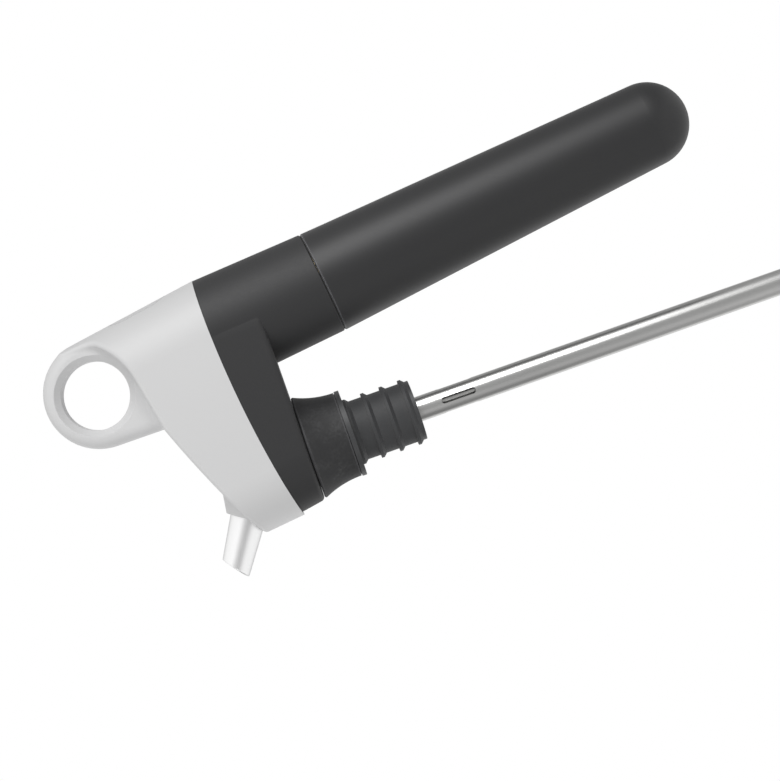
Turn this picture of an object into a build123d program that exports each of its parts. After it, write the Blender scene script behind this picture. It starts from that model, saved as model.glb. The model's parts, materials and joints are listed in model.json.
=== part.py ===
"""Wine preservation dispenser: a hand-held pourer that sits on a stopper in a bottle's neck.

A capsule in the handle feeds inert gas through a regulator and down the long stem, and the wine comes
back round the gas tube to the spout. Millimetres. The origin is the centre of the bottle's lip, +Z runs
up along the stem, +X points at the handle and the spout looks towards -X.
"""

import math
import os

from build123d import *

os.makedirs("parts", exist_ok=True)

# ---- Fits ------------------------------------------------------------------------------------------
running_gap = 0.05  # radial play of a part that turns or slides in another
seal_gap = 0.02  # radial play left between a seal and what it wipes
clear_gap = 0.3  # space between parts that pass or push each other
step_gap = 0.15  # between the base's locating lip and the cover's wall
over = 1.0  # how far a cut runs past the face that it opens
near = 0.1  # slack when an edge or a face is picked by its place
on_face = 0.01  # how near a point of an edge lies to the face that it belongs to

# ---- Stopper ---------------------------------------------------------------------------------------
rib_r = 9.4  # sealing ribs, a light press in a standard bottle mouth
rib_count = 4
rib_land = 0.8  # flat top of a rib
rib_flank = 0.9  # sloping underside of a rib
plug_depth = 18.0
seal_rebate = 0.3  # how far the seal's top stands in the flange
sleeve_r = 8.5
core_r = 7.4
core_play = 0.6  # round the stem
foot_h = 1.0
flange_r = 12.3
flange_h = 1.3
spigot_r = 9.0
spigot_h = 7.0
pocket_r = 6.5
pocket_h = 3.2
turning_wire_r = 0.75  # section radius of the turning ring
turning_ring_h = 3.15  # middle of its groove, above the flange
wiper_bell = 1.3  # how far the wiper opens out from the stem at its faces
wiper_land = 0.8  # length of its lip
cap_gap = 0.25  # shadow line between the flange and the cap
cap_foot_r = 12.1
cap_waist_r, cap_waist_h = 12.65, 5.2
cap_top_r = 14.6
cap_lip_r = 0.55
cap_h = 11.58
cap_web = 3.6

# ---- Stem ------------------------------------------------------------------------------------------
stem_r = 3.5
stem_wall = 0.9
stem_length = 199.0  # from the head's underside to the end of the tube
stem_collar_r = 5.0
stem_collar_h = 1.5
stem_seal_h = 1.5
stem_seal_edge = 0.35
stem_socket_h = 8.75  # how far the stem stands up in the valve block
wine_bore_end = 44.0  # below the lip
gas_tube_r = 1.5
gas_tube_wall = 0.6
gas_seat_h = 4.0
gas_seat_step = 0.2
slot_width = 1.8
slot_length = 10.0
slot_depth = 31.0  # middle of the wine slots, below the lip
tip_length = 4.0
tip_plug_h = 5.0
tip_hole_r = 0.6
tip_hole_drop = 1.6  # below the tube's end

# ---- Head shells -----------------------------------------------------------------------------------
head_gap = 0.12  # between the stopper's cap and the underside
floor_h = 2.0
cover_wall = 2.0
base_wall = 2.6
half_width = 15.5  # of the cover, level with nose_z
half_draft = 0.0085  # half width lost per millimetre of height
nose_x, nose_z = -17.3, 22.4  # a point on the cover's nose
nose_lean = math.radians(6.0)
spine_x, spine_z = 54.2, 27.6  # a point on the cover's straight back
spine_lean = math.radians(8.95)
base_step = 0.1  # how far the base's sides stand inside the cover's
base_draft = 0.0166
base_nose_step = 1.2  # how far its nose stands inside the cover's at base_nose_z
base_nose_z = 15.7
base_nose_lean = math.radians(9.5)
base_inner_back = 36.0  # centre of the nose block's round end, hidden in the collar
base_edge_r = 1.3
parting_x, parting_z, parting_r = 50.0, 28.0, 286.0  # top of the parting arc
front_x, front_z = -0.45, 40.45  # middle of the sloping front
front_slope = math.radians(24.26)
front_r = 290.0
front_reach = 19.4  # from the middle to the shoulder
front_overrun = 6.0  # past the nose, so that the nose cuts it off
saddle_x, saddle_z, saddle_r = 30.0, 69.3, 18.6  # hollow under the ring
soft_edge = 1.2
form_margin = 5.0  # how far the forms run past the head, above and below
lip_h = 2.5
lip_root = 1.1
lip_t = 1.1

# ---- Hanging ring ----------------------------------------------------------------------------------
ring_r = 15.3
ring_hole_r = 9.5
ring_hole_x, ring_hole_z = -0.35, 1.05  # the hole's centre, from the ring's
ring_z = 62.2
ring_half = 6.2
ring_edge = 3.4
ring_rim = 1.7  # chamfer round the hole
ring_root_blend = 2.0

# ---- Spout -----------------------------------------------------------------------------------------
spout_x, spout_z = -14.0, 35.9  # where its axis leaves the head
spout_rise = math.radians(32.6)
spout_r = 4.85
spout_taper = math.radians(3.25)
spout_length = 12.8
spout_cut = math.radians(19.8)
spout_bore_r = 3.25
spout_lip_r = 0.3
spout_root_r = 4.4
spout_root = 12.5  # length hidden in the head
spout_shoulder = 5.0
boss_face = 1.5  # the boss's end, back from where the axis leaves the head
boss_r = 6.1
boss_flare = math.radians(24.5)
boss_h = 8.0

# ---- Handle: collar, cup and capsule ---------------------------------------------------------------
seam_x, seam_z = 41.95, -5.8  # centre of the seam between collar and cup
seam_r = 14.6
seam_gap = 0.12
seam_edge = 0.3
handle_tilt = math.radians(6.65)
collar_top_x, collar_top_z, collar_top_r = 38.4, 31.0, 15.45
collar_wall = 1.85
cup_length = 112.2
cup_mouth_wall = 1.4
cup_wall = 0.75  # at the start of its round end
cup_floor = 7.9
cup_neck = 14.0  # depth of the wider mouth
cup_neck_slope = 1.0
thread_length = 12.0
insert_wall = 1.25
insert_h = 10.0
capsule_r = 10.9
capsule_play = 0.25
capsule_wall = 1.6
capsule_top = 10.0  # below the seam
capsule_neck_r = 4.0
capsule_neck_h = 6.5
capsule_shoulder_h = 8.5
capsule_pierce_r = 1.0
pad_r = 5.0
pad_h = 5.2  # on the axis, under the capsule
pad_gap = 0.1

# ---- Gas regulator ---------------------------------------------------------------------------------
regulator_flange_h = 8.0  # above the seam
chamber_r = 10.4
chamber_wall = 2.4
chamber_top = 18.0
chamber_floor = 9.0
regulator_lid_h = 3.5
regulator_lid_edge = 0.6
piston_h = 2.4
piston_rest = 0.6  # above the chamber's floor
piston_wire_r = 0.6
regulator_spring_r = 5.5
regulator_spring_turns = 3
regulator_wire_w, regulator_wire_h = 1.2, 0.7
piercing_pin_r = 1.5
piercing_pin_h = 6.4
piercing_tip_h = 2.4
piercing_tip_r = 0.4
piercing_bore_r = 0.25
neck_play = 0.3
gasket_h = 1.5
gasket_gap = 0.1
outlet_offset = 7.5
outlet_r = 1.5
outlet_bore_r = 0.9
outlet_h = 4.5
hose_wall = 0.9
hose_bend = 4.0

# ---- Valve block and its moving parts --------------------------------------------------------------
block_foot_r = 11.4
block_foot_h = 3.0
tower_r = 7.2
tower_top = 34.0
wine_chamber_h = 2.5
deck_x = 4.0
deck_z = 28.5
bulkhead_x = 24.0
bulkhead_t = 3.0
bulkhead_low, bulkhead_high = 24.0, 39.0
bulkhead_half = 10.6
barrel_r = 4.3
web_half = 2.2
socket_face = 8.6  # back along the spout's axis
socket_wall = 0.75
socket_end = 14.0
seal_room = 1.6
seal_wire_r = 0.7
passage_r = 0.8
inlet_z = 29.0
inlet_h = 2.4
gas_tube_top = 31.0
gas_gallery_z = 32.0
port_in, port_out = 12.9, 10.9  # along X, in each valve's bore
ear_t = 2.0
ear_r = 3.2
ear_h = 8.0
pivot_x, pivot_z = 38.0, 24.5
pivot_r = 1.5
lever_front, lever_back = 1.4, 1.0  # the plate's faces, from its pivot
lever_top = 46.0
lever_hub_r = 3.0
valve_pin_r = 1.5
valve_pin_y = 5.5
valve_pin_z = 34.5
valve_pin_start = 9.5
valve_pin_room = 2.2  # free space at the end of its bore
waist_r = 0.9
waist_low, waist_high = 12.2, 14.6
disc_r = 2.5
disc_h = 1.0
disc_back = 3.0
tip_round = 0.7
pin_seal_r = 2.85
pin_seal_h = 1.5
washer_r = 3.6
washer_h = 0.6
washer_play = 0.1
pin_spring_r = 2.1
pin_spring_turns = 5
pin_wire_w, pin_wire_h = 0.6, 0.35
screw_x, screw_y = 5.5, 7.5
screw_r = 1.2
screw_head_r = 2.0
screw_head_h = 1.2
screw_length = 3.6
pad_ring_r = 6.8
pad_ring_bore_r = 4.2
pad_ring_h = 1.3

# ---- Pour button -----------------------------------------------------------------------------------
button_z = 45.2
button_length = 18.0
button_width = 11.0
button_rim = 1.2
button_depth = 5.2
button_travel = 3.0
plunger_r = 2.5
guide_depth = 9.1
guide_t = 1.5
guide_up, guide_down = 7.0, 12.5
button_spring_r = 3.6
button_spring_turns = 2
button_wire_w, button_wire_h = 0.8, 0.35

# ---- Worked out from the above ---------------------------------------------------------------------
spigot_top = flange_h + spigot_h
cap_foot_z = flange_h + cap_gap
cap_top_z = cap_foot_z + cap_h
underside_z = cap_top_z + head_gap
pad_stand = head_gap - running_gap  # how far the seat pad stands out of the underside
floor_z = underside_z + floor_h
core_bore_r = stem_r + core_play
stem_bore_r = stem_r - stem_wall
stem_end_z = underside_z - stem_length
stem_top_z = floor_z + stem_socket_h
gas_seat_z = -wine_bore_end - gas_seat_h
lower_bore_r = gas_tube_r - gas_seat_step
form_low, form_high = underside_z - form_margin, ring_z + ring_r + form_margin
reach = 40.0  # half the depth of a cut that goes right through
ring_x = spine_x - (ring_z - spine_z) * math.tan(spine_lean) - ring_r / math.cos(spine_lean)
spout_face_r = spout_r + boss_face * math.tan(spout_taper)
spout_seat_r = spout_face_r + running_gap
collar_bore_r = seam_r - collar_wall
flange_bore_r = chamber_r + clear_gap
insert_r = seam_r - cup_mouth_wall
insert_bore_r = insert_r - insert_wall
thread_r = insert_bore_r - running_gap
cup_bore_r = capsule_r + capsule_play
cup_dome_r = cup_bore_r + cup_wall
cup_bottom = cup_length - cup_floor
capsule_end = cup_bottom - pad_h - pad_gap
neck_bore_r = capsule_neck_r + neck_play
insert_low = seam_gap + seam_edge + insert_h
gasket_top = capsule_top - gasket_gap - gasket_h
chamber_bore_r = chamber_r - chamber_wall
socket_bore_r = spout_root_r + running_gap
socket_seal_r = spout_root_r + 2 * seal_wire_r + 2 * seal_gap
socket_r = socket_seal_r + socket_wall
valve_bore_r = valve_pin_r + running_gap
valve_pin_end = pivot_x - lever_front - clear_gap
disc_x = valve_pin_end - disc_back - disc_h
lever_half = bulkhead_half - ear_t - clear_gap
valve_sides = {"gas": valve_pin_y, "wine": -valve_pin_y}

# The underside's plane, seen from below
underside = Plane(origin=(0, 0, underside_z), z_dir=(0, 0, -1))

# Beside the handle's axis, the side plane holds (radius, distance below the seam).
handle_down = (math.sin(handle_tilt), 0, -math.cos(handle_tilt))
handle_up = (-math.sin(handle_tilt), 0, math.cos(handle_tilt))
handle_out = (math.cos(handle_tilt), 0, math.sin(handle_tilt))
handle_side = Plane(origin=(seam_x, 0, seam_z), x_dir=handle_out, z_dir=(0, 1, 0))
handle_axis = Axis((seam_x, 0, seam_z), handle_down)
seam_plane = Plane(origin=(seam_x, 0, seam_z), x_dir=handle_out, z_dir=handle_up)

# Beside the spout's axis, the side plane holds (radius, distance out of the head).
spout_out = (-math.cos(spout_rise), 0, math.sin(spout_rise))
spout_under = (-math.sin(spout_rise), 0, -math.cos(spout_rise))
spout_side = Plane(origin=(spout_x, 0, spout_z), x_dir=spout_under, z_dir=(0, 1, 0))
spout_axis = Axis((spout_x, 0, spout_z), spout_out)

# The button's plane lies on the cover's back, +Z out of it and +Y up along it.
button_x = spine_x - (button_z - spine_z) * math.tan(spine_lean)
button_out = (math.cos(spine_lean), 0, math.sin(spine_lean))
button_face = Plane(origin=(button_x, 0, button_z), x_dir=(0, 1, 0), z_dir=button_out)
push_depth = (button_x - pivot_x - lever_back - clear_gap) / math.cos(spine_lean)


def turn(side, axis, outline, mode=Mode.ADD):
    """Revolves a closed outline of (radius, distance) points in the part that is being made."""
    with BuildSketch(side) as section:
        with BuildLine():
            Polyline(*outline, close=True)
        make_face()
    revolve(section.sketch, axis=axis, mode=mode)


def ring_outline(inner, outer, low, high):
    """Four corners of a plain ring's section."""
    return (inner, low), (outer, low), (outer, high), (inner, high)


def drill(start, end, radius):
    """Cuts a round passage from one point to another."""
    way = Vector(end) - Vector(start)
    with BuildSketch(Plane(origin=start, z_dir=way)) as bore:
        Circle(radius)
    extrude(bore.sketch, amount=way.length, mode=Mode.SUBTRACT)


def tangent_point(start, centre, radius, side=-1):
    """Where a line from start touches a circle, to the right of its centre, or to the left for side 1."""
    distance = math.dist(start, centre)
    bearing = math.atan2(centre[1] - start[1], centre[0] - start[0])
    heading = bearing + side * math.asin(radius / distance)
    length = math.sqrt(distance**2 - radius**2)
    return start[0] + length * math.cos(heading), start[1] + length * math.sin(heading)


def dome_point(centre, radius, angle=math.radians(45)):
    """Point of a round end beside the handle's axis, at an angle from the axis."""
    return radius * math.sin(angle), centre + radius * math.cos(angle)


def valve_planes(side):
    """Side plane that holds (radius, X) for a valve's bore, and the bore's axis."""
    origin = (0, side, valve_pin_z)
    return Plane(origin=origin, x_dir=(0, 0, 1), z_dir=(0, 1, 0)), Axis(origin, (1, 0, 0))


def stadium(inset, x_near, x_far, half_at):
    """Upright block with flat sides and half-round ends, as wide as half_at says at each height."""
    with BuildPart() as block:
        for z in (form_low, form_high):
            near = x_near(z) + inset
            far = x_far(z) - inset
            with BuildSketch(Plane.XY.offset(z)):
                with Locations(((near + far) / 2, 0)):
                    SlotOverall(far - near, 2 * (half_at(z) - inset))
        loft(ruled=True)
    return block.part


def cover_near(z):
    """Front of the cover at a height."""
    return nose_x - (z - nose_z) * math.tan(nose_lean)


def cover_far(z):
    """Back of the cover at a height."""
    return spine_x - (z - spine_z) * math.tan(spine_lean)


def cover_half(z):
    """Half the cover's width at a height."""
    return half_width - half_draft * (z - nose_z)


def cover_form(inset):
    """Cover's outer form, or the same form a wall further in."""
    return stadium(inset, cover_near, cover_far, cover_half)


def base_near(z):
    """Front of the base at a height."""
    return cover_near(base_nose_z) + base_nose_step - (z - base_nose_z) * math.tan(base_nose_lean)


def base_half(z):
    """Half the base's width at a height."""
    return cover_half(parting_z) - base_step - base_draft * (parting_z - z)


def base_far(z):
    """Back of the base's nose block, which ends inside the collar."""
    return base_inner_back + base_half(z)


def collar_far(z):
    """Back of the collar at a height."""
    low_x = seam_x + seam_r * math.cos(handle_tilt)
    low_z = seam_z + seam_r * math.sin(handle_tilt)
    share = (z - low_z) / (collar_top_z - low_z)
    return low_x * (1 - share) + (collar_top_x + collar_top_r) * share


def parting_height(x):
    """Height of the parting arc at x."""
    return parting_z - parting_r + math.sqrt(parting_r**2 - (x - parting_x) ** 2)


def under_parting(lift):
    """Everything below the parting arc, raised by lift."""
    ends = (nose_x - reach, spine_x + reach)
    arc = [(x, parting_height(x) + lift) for x in (ends[0], sum(ends) / 2, ends[1])]
    with BuildPart() as below:
        with BuildSketch(Plane.XZ):
            with BuildLine():
                ThreePointArc(*arc)
                Polyline(arc[2], (ends[1], seam_z - reach), (ends[0], seam_z - reach), arc[0])
            make_face()
        extrude(amount=reach, both=True)
    return below.part


def front_point(along):
    """Point of the sloping front, at a distance from its middle."""
    angle = front_slope - along / front_r
    centre_x = front_x + front_r * math.sin(front_slope)
    centre_z = front_z - front_r * math.cos(front_slope)
    return centre_x - front_r * math.sin(angle), centre_z + front_r * math.cos(angle)


def saddle_point(angle):
    """Point of the hollow under the ring."""
    return saddle_x + saddle_r * math.cos(angle), saddle_z + saddle_r * math.sin(angle)


def body_profile(inset):
    """Side profile of the cover without its ring: sloping front, shoulder and hollow."""
    start = front_point(-front_reach - front_overrun)
    shoulder = front_point(front_reach)
    touch = tangent_point(shoulder, (saddle_x, saddle_z), saddle_r)
    sweep_angle = math.atan2(touch[1] - saddle_z, touch[0] - saddle_x)
    far = cover_far(form_low) + form_margin
    with BuildSketch(Plane.XZ) as profile:
        with BuildLine():
            ThreePointArc(start, front_point(0), shoulder)
            Line(shoulder, touch)
            ThreePointArc(touch, saddle_point(sweep_angle / 2), saddle_point(0))
            Polyline(saddle_point(0), (far, saddle_z), (far, form_low), (start[0], form_low), start)
        make_face()
        if inset:
            offset(amount=-inset, kind=Kind.INTERSECTION)
    return profile.sketch


def obround(depth, rim, height):
    """Button-shaped block from depth below the cover's back, rim wider than the button."""
    with BuildPart() as block:
        with BuildSketch(button_face.offset(-depth)):
            SlotOverall(button_length + 2 * rim, button_width + 2 * rim, rotation=90)
        extrude(amount=height)
    return block.part


def prism_tops(part):
    """Faces that run across the whole body prism, above its nose."""
    return part.faces().filter_by(
        lambda f: f.bounding_box().size.Y > reach - near and f.bounding_box().min.Z > nose_z
    )


def coil(base, radius, length, turns, wire_w, wire_h):
    """Flat-wire compression spring that stands on a plane."""
    pitch = (length - wire_h) / turns
    with BuildPart() as spring:
        with BuildLine() as centre:
            Helix(pitch=pitch, height=pitch * turns, radius=radius)
        with BuildSketch(Plane(origin=centre.line @ 0, x_dir=(1, 0, 0), z_dir=centre.line % 0)):
            Rectangle(wire_w, wire_h)
        sweep(is_frenet=True)
    return base.offset(wire_h / 2).location * spring.part


def finish(builder, name):
    """Names a finished piece and writes it."""
    builder.part.label = name
    export_step(builder.part, f"parts/{name}.step")


# ---- Stopper: what stays in the bottle -------------------------------------------------------------
ring_mid_z = flange_h + turning_ring_h
with BuildPart() as stopper_base:
    outline = (
        (core_bore_r, -plug_depth - foot_h),
        (sleeve_r, -plug_depth - foot_h),
        (sleeve_r, -plug_depth),
        (core_r, -plug_depth),
        (core_r, seal_rebate),
        (rib_r + seal_gap, seal_rebate),
        (rib_r + seal_gap, 0),
        (flange_r, 0),
        (flange_r, flange_h),
        (spigot_r, flange_h),
        (spigot_r, spigot_top),
        (pocket_r, spigot_top),
        (pocket_r, spigot_top - pocket_h),
        (core_bore_r, spigot_top - pocket_h),
    )
    turn(Plane.XZ, Axis.Z, outline)
    groove_r = spigot_r - 2 * turning_wire_r
    groove_low, groove_high = ring_mid_z - turning_wire_r, ring_mid_z + turning_wire_r
    turn(Plane.XZ, Axis.Z, ring_outline(groove_r, spigot_r + over, groove_low, groove_high), Mode.SUBTRACT)
finish(stopper_base, "stopper_base")

rib_pitch = (plug_depth - rib_land - rib_flank) / (rib_count - 1)
with BuildPart() as neck_seal:
    turn(Plane.XZ, Axis.Z, ring_outline(core_r, sleeve_r, -plug_depth, seal_rebate))
    chamfered_top = ((core_r, 0), (rib_r, 0), (rib_r - seal_rebate, seal_rebate), (core_r, seal_rebate))
    turn(Plane.XZ, Axis.Z, chamfered_top)
    for rib in range(rib_count):
        top = -rib * rib_pitch
        section = (
            (core_r, top),
            (rib_r, top),
            (rib_r, top - rib_land),
            (sleeve_r, top - rib_land - rib_flank),
            (core_r, top - rib_land - rib_flank),
        )
        turn(Plane.XZ, Axis.Z, section)
finish(neck_seal, "neck_seal")

with BuildPart() as turning_ring:
    with BuildSketch(Plane.XZ):
        with Locations((spigot_r - turning_wire_r, ring_mid_z)):
            Circle(turning_wire_r)
    revolve(axis=Axis.Z)
finish(turning_ring, "turning_ring")

with BuildPart() as stem_wiper:
    lip_low = spigot_top - (pocket_h + wiper_land) / 2
    outline = (
        (pocket_r, spigot_top - pocket_h),
        (pocket_r, spigot_top),
        (stem_r + wiper_bell, spigot_top),
        (stem_r + seal_gap, lip_low + wiper_land),
        (stem_r + seal_gap, lip_low),
        (stem_r + wiper_bell, spigot_top - pocket_h),
    )
    turn(Plane.XZ, Axis.Z, outline)
finish(stem_wiper, "stem_wiper")

with BuildPart() as stopper_cap:
    bore_r = spigot_r + running_gap
    web_z = cap_top_z - cap_web
    with BuildSketch(Plane.XZ):
        with BuildLine():
            flare_top = (cap_top_r, cap_top_z - cap_lip_r)
            ThreePointArc((cap_foot_r, cap_foot_z), (cap_waist_r, cap_foot_z + cap_waist_h), flare_top)
            RadiusArc(flare_top, (cap_top_r - cap_lip_r, cap_top_z), -cap_lip_r)
            Polyline(
                (cap_top_r - cap_lip_r, cap_top_z),
                (core_bore_r, cap_top_z),
                (core_bore_r, web_z),
                (bore_r, web_z),
                (bore_r, cap_foot_z),
                (cap_foot_r, cap_foot_z),
            )
        make_face()
    revolve(axis=Axis.Z)
finish(stopper_cap, "stopper_cap")

# ---- Stem ------------------------------------------------------------------------------------------
gas_seat_r = gas_tube_r + running_gap
with BuildPart() as stem:
    outline = (
        (lower_bore_r, stem_end_z),
        (stem_r, stem_end_z),
        (stem_r, floor_z),
        (stem_collar_r, floor_z),
        (stem_collar_r, floor_z + stem_collar_h),
        (stem_r, floor_z + stem_collar_h),
        (stem_r, stem_top_z),
        (stem_bore_r, stem_top_z),
        (stem_bore_r, -wine_bore_end),
        (gas_seat_r, -wine_bore_end),
        (gas_seat_r, gas_seat_z),
        (lower_bore_r, gas_seat_z),
    )
    turn(Plane.XZ, Axis.Z, outline)
    for side in (Plane.XZ, Plane.YZ):
        with BuildSketch(side):
            with Locations((0, -slot_depth)):
                SlotOverall(slot_length, slot_width, rotation=90)
        extrude(amount=stem_r + over, both=True, mode=Mode.SUBTRACT)
finish(stem, "stem")

with BuildPart() as gas_tube:
    turn(Plane.XZ, Axis.Z, ring_outline(gas_tube_r - gas_tube_wall, gas_tube_r, gas_seat_z, gas_tube_top))
finish(gas_tube, "gas_tube")

with BuildPart() as stem_tip:
    with BuildSketch(Plane.XZ):
        with BuildLine():
            Polyline(
                (tip_hole_r, stem_end_z - tip_length),
                (tip_hole_r, stem_end_z + tip_plug_h),
                (lower_bore_r - seal_gap, stem_end_z + tip_plug_h),
                (lower_bore_r - seal_gap, stem_end_z),
                (stem_r, stem_end_z),
            )
            EllipticalCenterArc((tip_hole_r, stem_end_z), stem_r - tip_hole_r, tip_length, arc_size=-90)
        make_face()
    revolve(axis=Axis.Z)
    for side in (Plane.XZ, Plane.YZ):
        with BuildSketch(side):
            with Locations((0, stem_end_z - tip_hole_drop)):
                Circle(tip_hole_r)
        extrude(amount=stem_r + over, both=True, mode=Mode.SUBTRACT)
finish(stem_tip, "stem_tip")

with BuildPart() as stem_seal:
    low = floor_z + stem_collar_h
    turn(Plane.XZ, Axis.Z, ring_outline(stem_r + seal_gap, stem_collar_r, low, low + stem_seal_h))
    fillet(stem_seal.edges().filter_by(GeomType.CIRCLE), stem_seal_edge)
finish(stem_seal, "stem_seal")

# ---- Base housing ----------------------------------------------------------------------------------
with BuildPart() as nose_block:
    add(stadium(0, base_near, base_far, base_half))
    split(bisect_by=Plane.XY.offset(underside_z), keep=Keep.TOP)
    fillet(nose_block.faces().sort_by(Axis.Z)[0].edges(), base_edge_r)

with BuildPart() as collar:
    with BuildSketch(seam_plane):
        Circle(seam_r)
    with BuildSketch(Plane.XY.offset(collar_top_z)):
        with Locations((collar_top_x, 0)):
            Circle(collar_top_r)
    loft(ruled=True)
    chamfer(collar.faces().sort_by(Axis.Z)[0].edges(), seam_edge)

with BuildPart() as base_hollow:
    add(stadium(base_wall, base_near, collar_far, base_half))
    split(bisect_by=Plane.XY.offset(floor_z), keep=Keep.TOP)

with BuildPart() as locating_lip:
    add(cover_form(cover_wall + step_gap))
    add(cover_form(cover_wall + step_gap + lip_t), mode=Mode.SUBTRACT)
    add(under_parting(lip_h), mode=Mode.INTERSECT)
    add(under_parting(-lip_root), mode=Mode.SUBTRACT)

with BuildPart() as base_housing:
    add(nose_block.part)
    add(collar.part)
    add(under_parting(0), mode=Mode.INTERSECT)
    add(base_hollow.part, mode=Mode.SUBTRACT)
    turn(handle_side, handle_axis, ring_outline(0, flange_bore_r, -reach, over), Mode.SUBTRACT)
    turn(handle_side, handle_axis, ring_outline(0, collar_bore_r, -regulator_flange_h, over), Mode.SUBTRACT)
    add(locating_lip.part)
    with Locations(underside):
        CounterBoreHole(stem_r + running_gap, pad_ring_r, pad_ring_h - pad_stand, floor_h + over)
        with GridLocations(2 * screw_x, 2 * screw_y, 2, 2):
            CounterBoreHole(
                screw_r + running_gap, screw_head_r + running_gap, screw_head_h, floor_h + over
            )
finish(base_housing, "base_housing")

with BuildPart() as seat_pad:
    pad_top = underside_z + pad_ring_h - pad_stand
    turn(Plane.XZ, Axis.Z, ring_outline(pad_ring_bore_r, pad_ring_r, pad_top - pad_ring_h, pad_top))
finish(seat_pad, "seat_pad")

with BuildPart() as housing_screws:
    for radius, low, high in ((screw_head_r, 0, screw_head_h), (screw_r, screw_head_h, screw_length)):
        with BuildSketch(Plane.XY.offset(underside_z + low)):
            with GridLocations(2 * screw_x, 2 * screw_y, 2, 2):
                Circle(radius)
        extrude(amount=high - low)
finish(housing_screws, "housing_screws")

# ---- Front cover with its ring ---------------------------------------------------------------------
with BuildPart() as ring_blade:
    with BuildSketch(Plane.XZ):
        with Locations((ring_x, ring_z)):
            Circle(ring_r)
        back = (ring_x + ring_r * math.cos(spine_lean), ring_z + ring_r * math.sin(spine_lean))
        with BuildLine():
            Polyline(
                (ring_x - ring_r, ring_z),
                (ring_x - ring_r, front_z),
                (cover_far(front_z), front_z),
                back,
                (ring_x, ring_z),
                close=True,
            )
        make_face()
        with Locations((ring_x + ring_hole_x, ring_z + ring_hole_z)):
            Circle(ring_hole_r, mode=Mode.SUBTRACT)
    extrude(amount=ring_half, both=True)
    hole_faces = ring_blade.faces().filter_by(GeomType.CYLINDER)
    rims = hole_faces.filter_by(lambda f: f.radius < ring_hole_r + near).edges().filter_by(GeomType.CIRCLE)
    side_edges = ring_blade.faces().filter_by(Axis.Y).edges() - rims
    fillet(side_edges.filter_by(lambda e: e.center().Z > front_z + near), ring_edge)
    rims = ring_blade.edges().filter_by(GeomType.CIRCLE)
    chamfer(rims.filter_by(lambda e: e.radius < ring_hole_r + near), ring_rim)

with BuildPart() as body_prism:
    extrude(body_profile(0), amount=reach / 2, both=True)

with BuildPart() as spout_boss:
    flare = boss_h * math.tan(boss_flare)
    cone = ((0, -boss_face), (boss_r, -boss_face), (boss_r + flare, -boss_face - boss_h))
    turn(spout_side, spout_axis, (*cone, (0, -boss_face - boss_h)))

with BuildPart() as cover_hollow:
    extrude(body_profile(cover_wall), amount=reach, both=True)
    add(cover_form(cover_wall), mode=Mode.INTERSECT)

body_tops = prism_tops(body_prism)
form_sides = cover_form(0).faces()
with BuildPart() as front_cover:
    add(body_prism.part)
    add(ring_blade.part)
    # Where the ring grows out of the body
    junction = prism_tops(front_cover).edges().filter_by(
        lambda e: abs(e.center().Y) < ring_half + near and e.bounding_box().size.Y < reach / 2
    )
    fillet(junction, ring_root_blend)
    add(cover_form(0), mode=Mode.INTERSECT)
    # Where the body's top faces meet its sides
    crests = front_cover.edges().filter_by(
        lambda e: all(
            min(f.distance_to(e @ spot) for f in faces) < on_face
            for faces in (body_tops, form_sides)
            for spot in (0.25, 0.5, 0.75)
        )
    )
    fillet(crests, soft_edge)
    add(spout_boss.part)
    add(cover_hollow.part, mode=Mode.SUBTRACT)
    add(under_parting(0), mode=Mode.SUBTRACT)
    turn(spout_side, spout_axis, ring_outline(0, spout_seat_r, -spout_root, spout_shoulder), Mode.SUBTRACT)
    add(obround(button_depth, clear_gap, reach), mode=Mode.SUBTRACT)
finish(front_cover, "front_cover")

# ---- Spout -----------------------------------------------------------------------------------------
with BuildPart() as spout:
    far = spout_length + spout_r
    outline = (
        (spout_bore_r, -spout_root),
        (spout_root_r, -spout_root),
        (spout_root_r, -spout_shoulder),
        (spout_face_r, -spout_shoulder),
        (spout_face_r, -boss_face),
        (spout_r - far * math.tan(spout_taper), far),
        (spout_bore_r, far),
    )
    turn(spout_side, spout_axis, outline)
    lip_origin = spout_axis.position + spout_axis.direction * spout_length
    lip_normal = spout_axis.direction.rotate(Axis.Y, math.degrees(spout_cut))
    split(bisect_by=Plane(origin=lip_origin, z_dir=lip_normal), keep=Keep.BOTTOM)
    fillet(spout.faces().sort_by(spout_axis)[-1].edges(), spout_lip_r)
finish(spout, "spout")

with BuildPart() as spout_seal:
    with BuildSketch(spout_side):
        with Locations((spout_root_r + seal_gap + seal_wire_r, -socket_face - seal_room / 2)):
            Circle(seal_wire_r)
    revolve(axis=spout_axis)
finish(spout_seal, "spout_seal")

# ---- Valve block -----------------------------------------------------------------------------------
bulkhead_back = bulkhead_x - bulkhead_t
with BuildPart() as lever_ears:
    arm_low = (bulkhead_back, bulkhead_low)
    arm_high = (bulkhead_x, bulkhead_low + ear_h)
    pivot = (pivot_x, pivot_z)
    with BuildSketch(Plane.XZ.offset(-bulkhead_half)):
        with BuildLine():
            Polyline(
                arm_low,
                (bulkhead_back, bulkhead_low + ear_h),
                arm_high,
                tangent_point(arm_high, pivot, ear_r, side=1),
                pivot,
                tangent_point(arm_low, pivot, ear_r),
                close=True,
            )
        make_face()
        with Locations(pivot):
            Circle(ear_r)
            Circle(pivot_r, mode=Mode.SUBTRACT)
    extrude(amount=ear_t)
    mirror(about=Plane.XZ)

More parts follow.
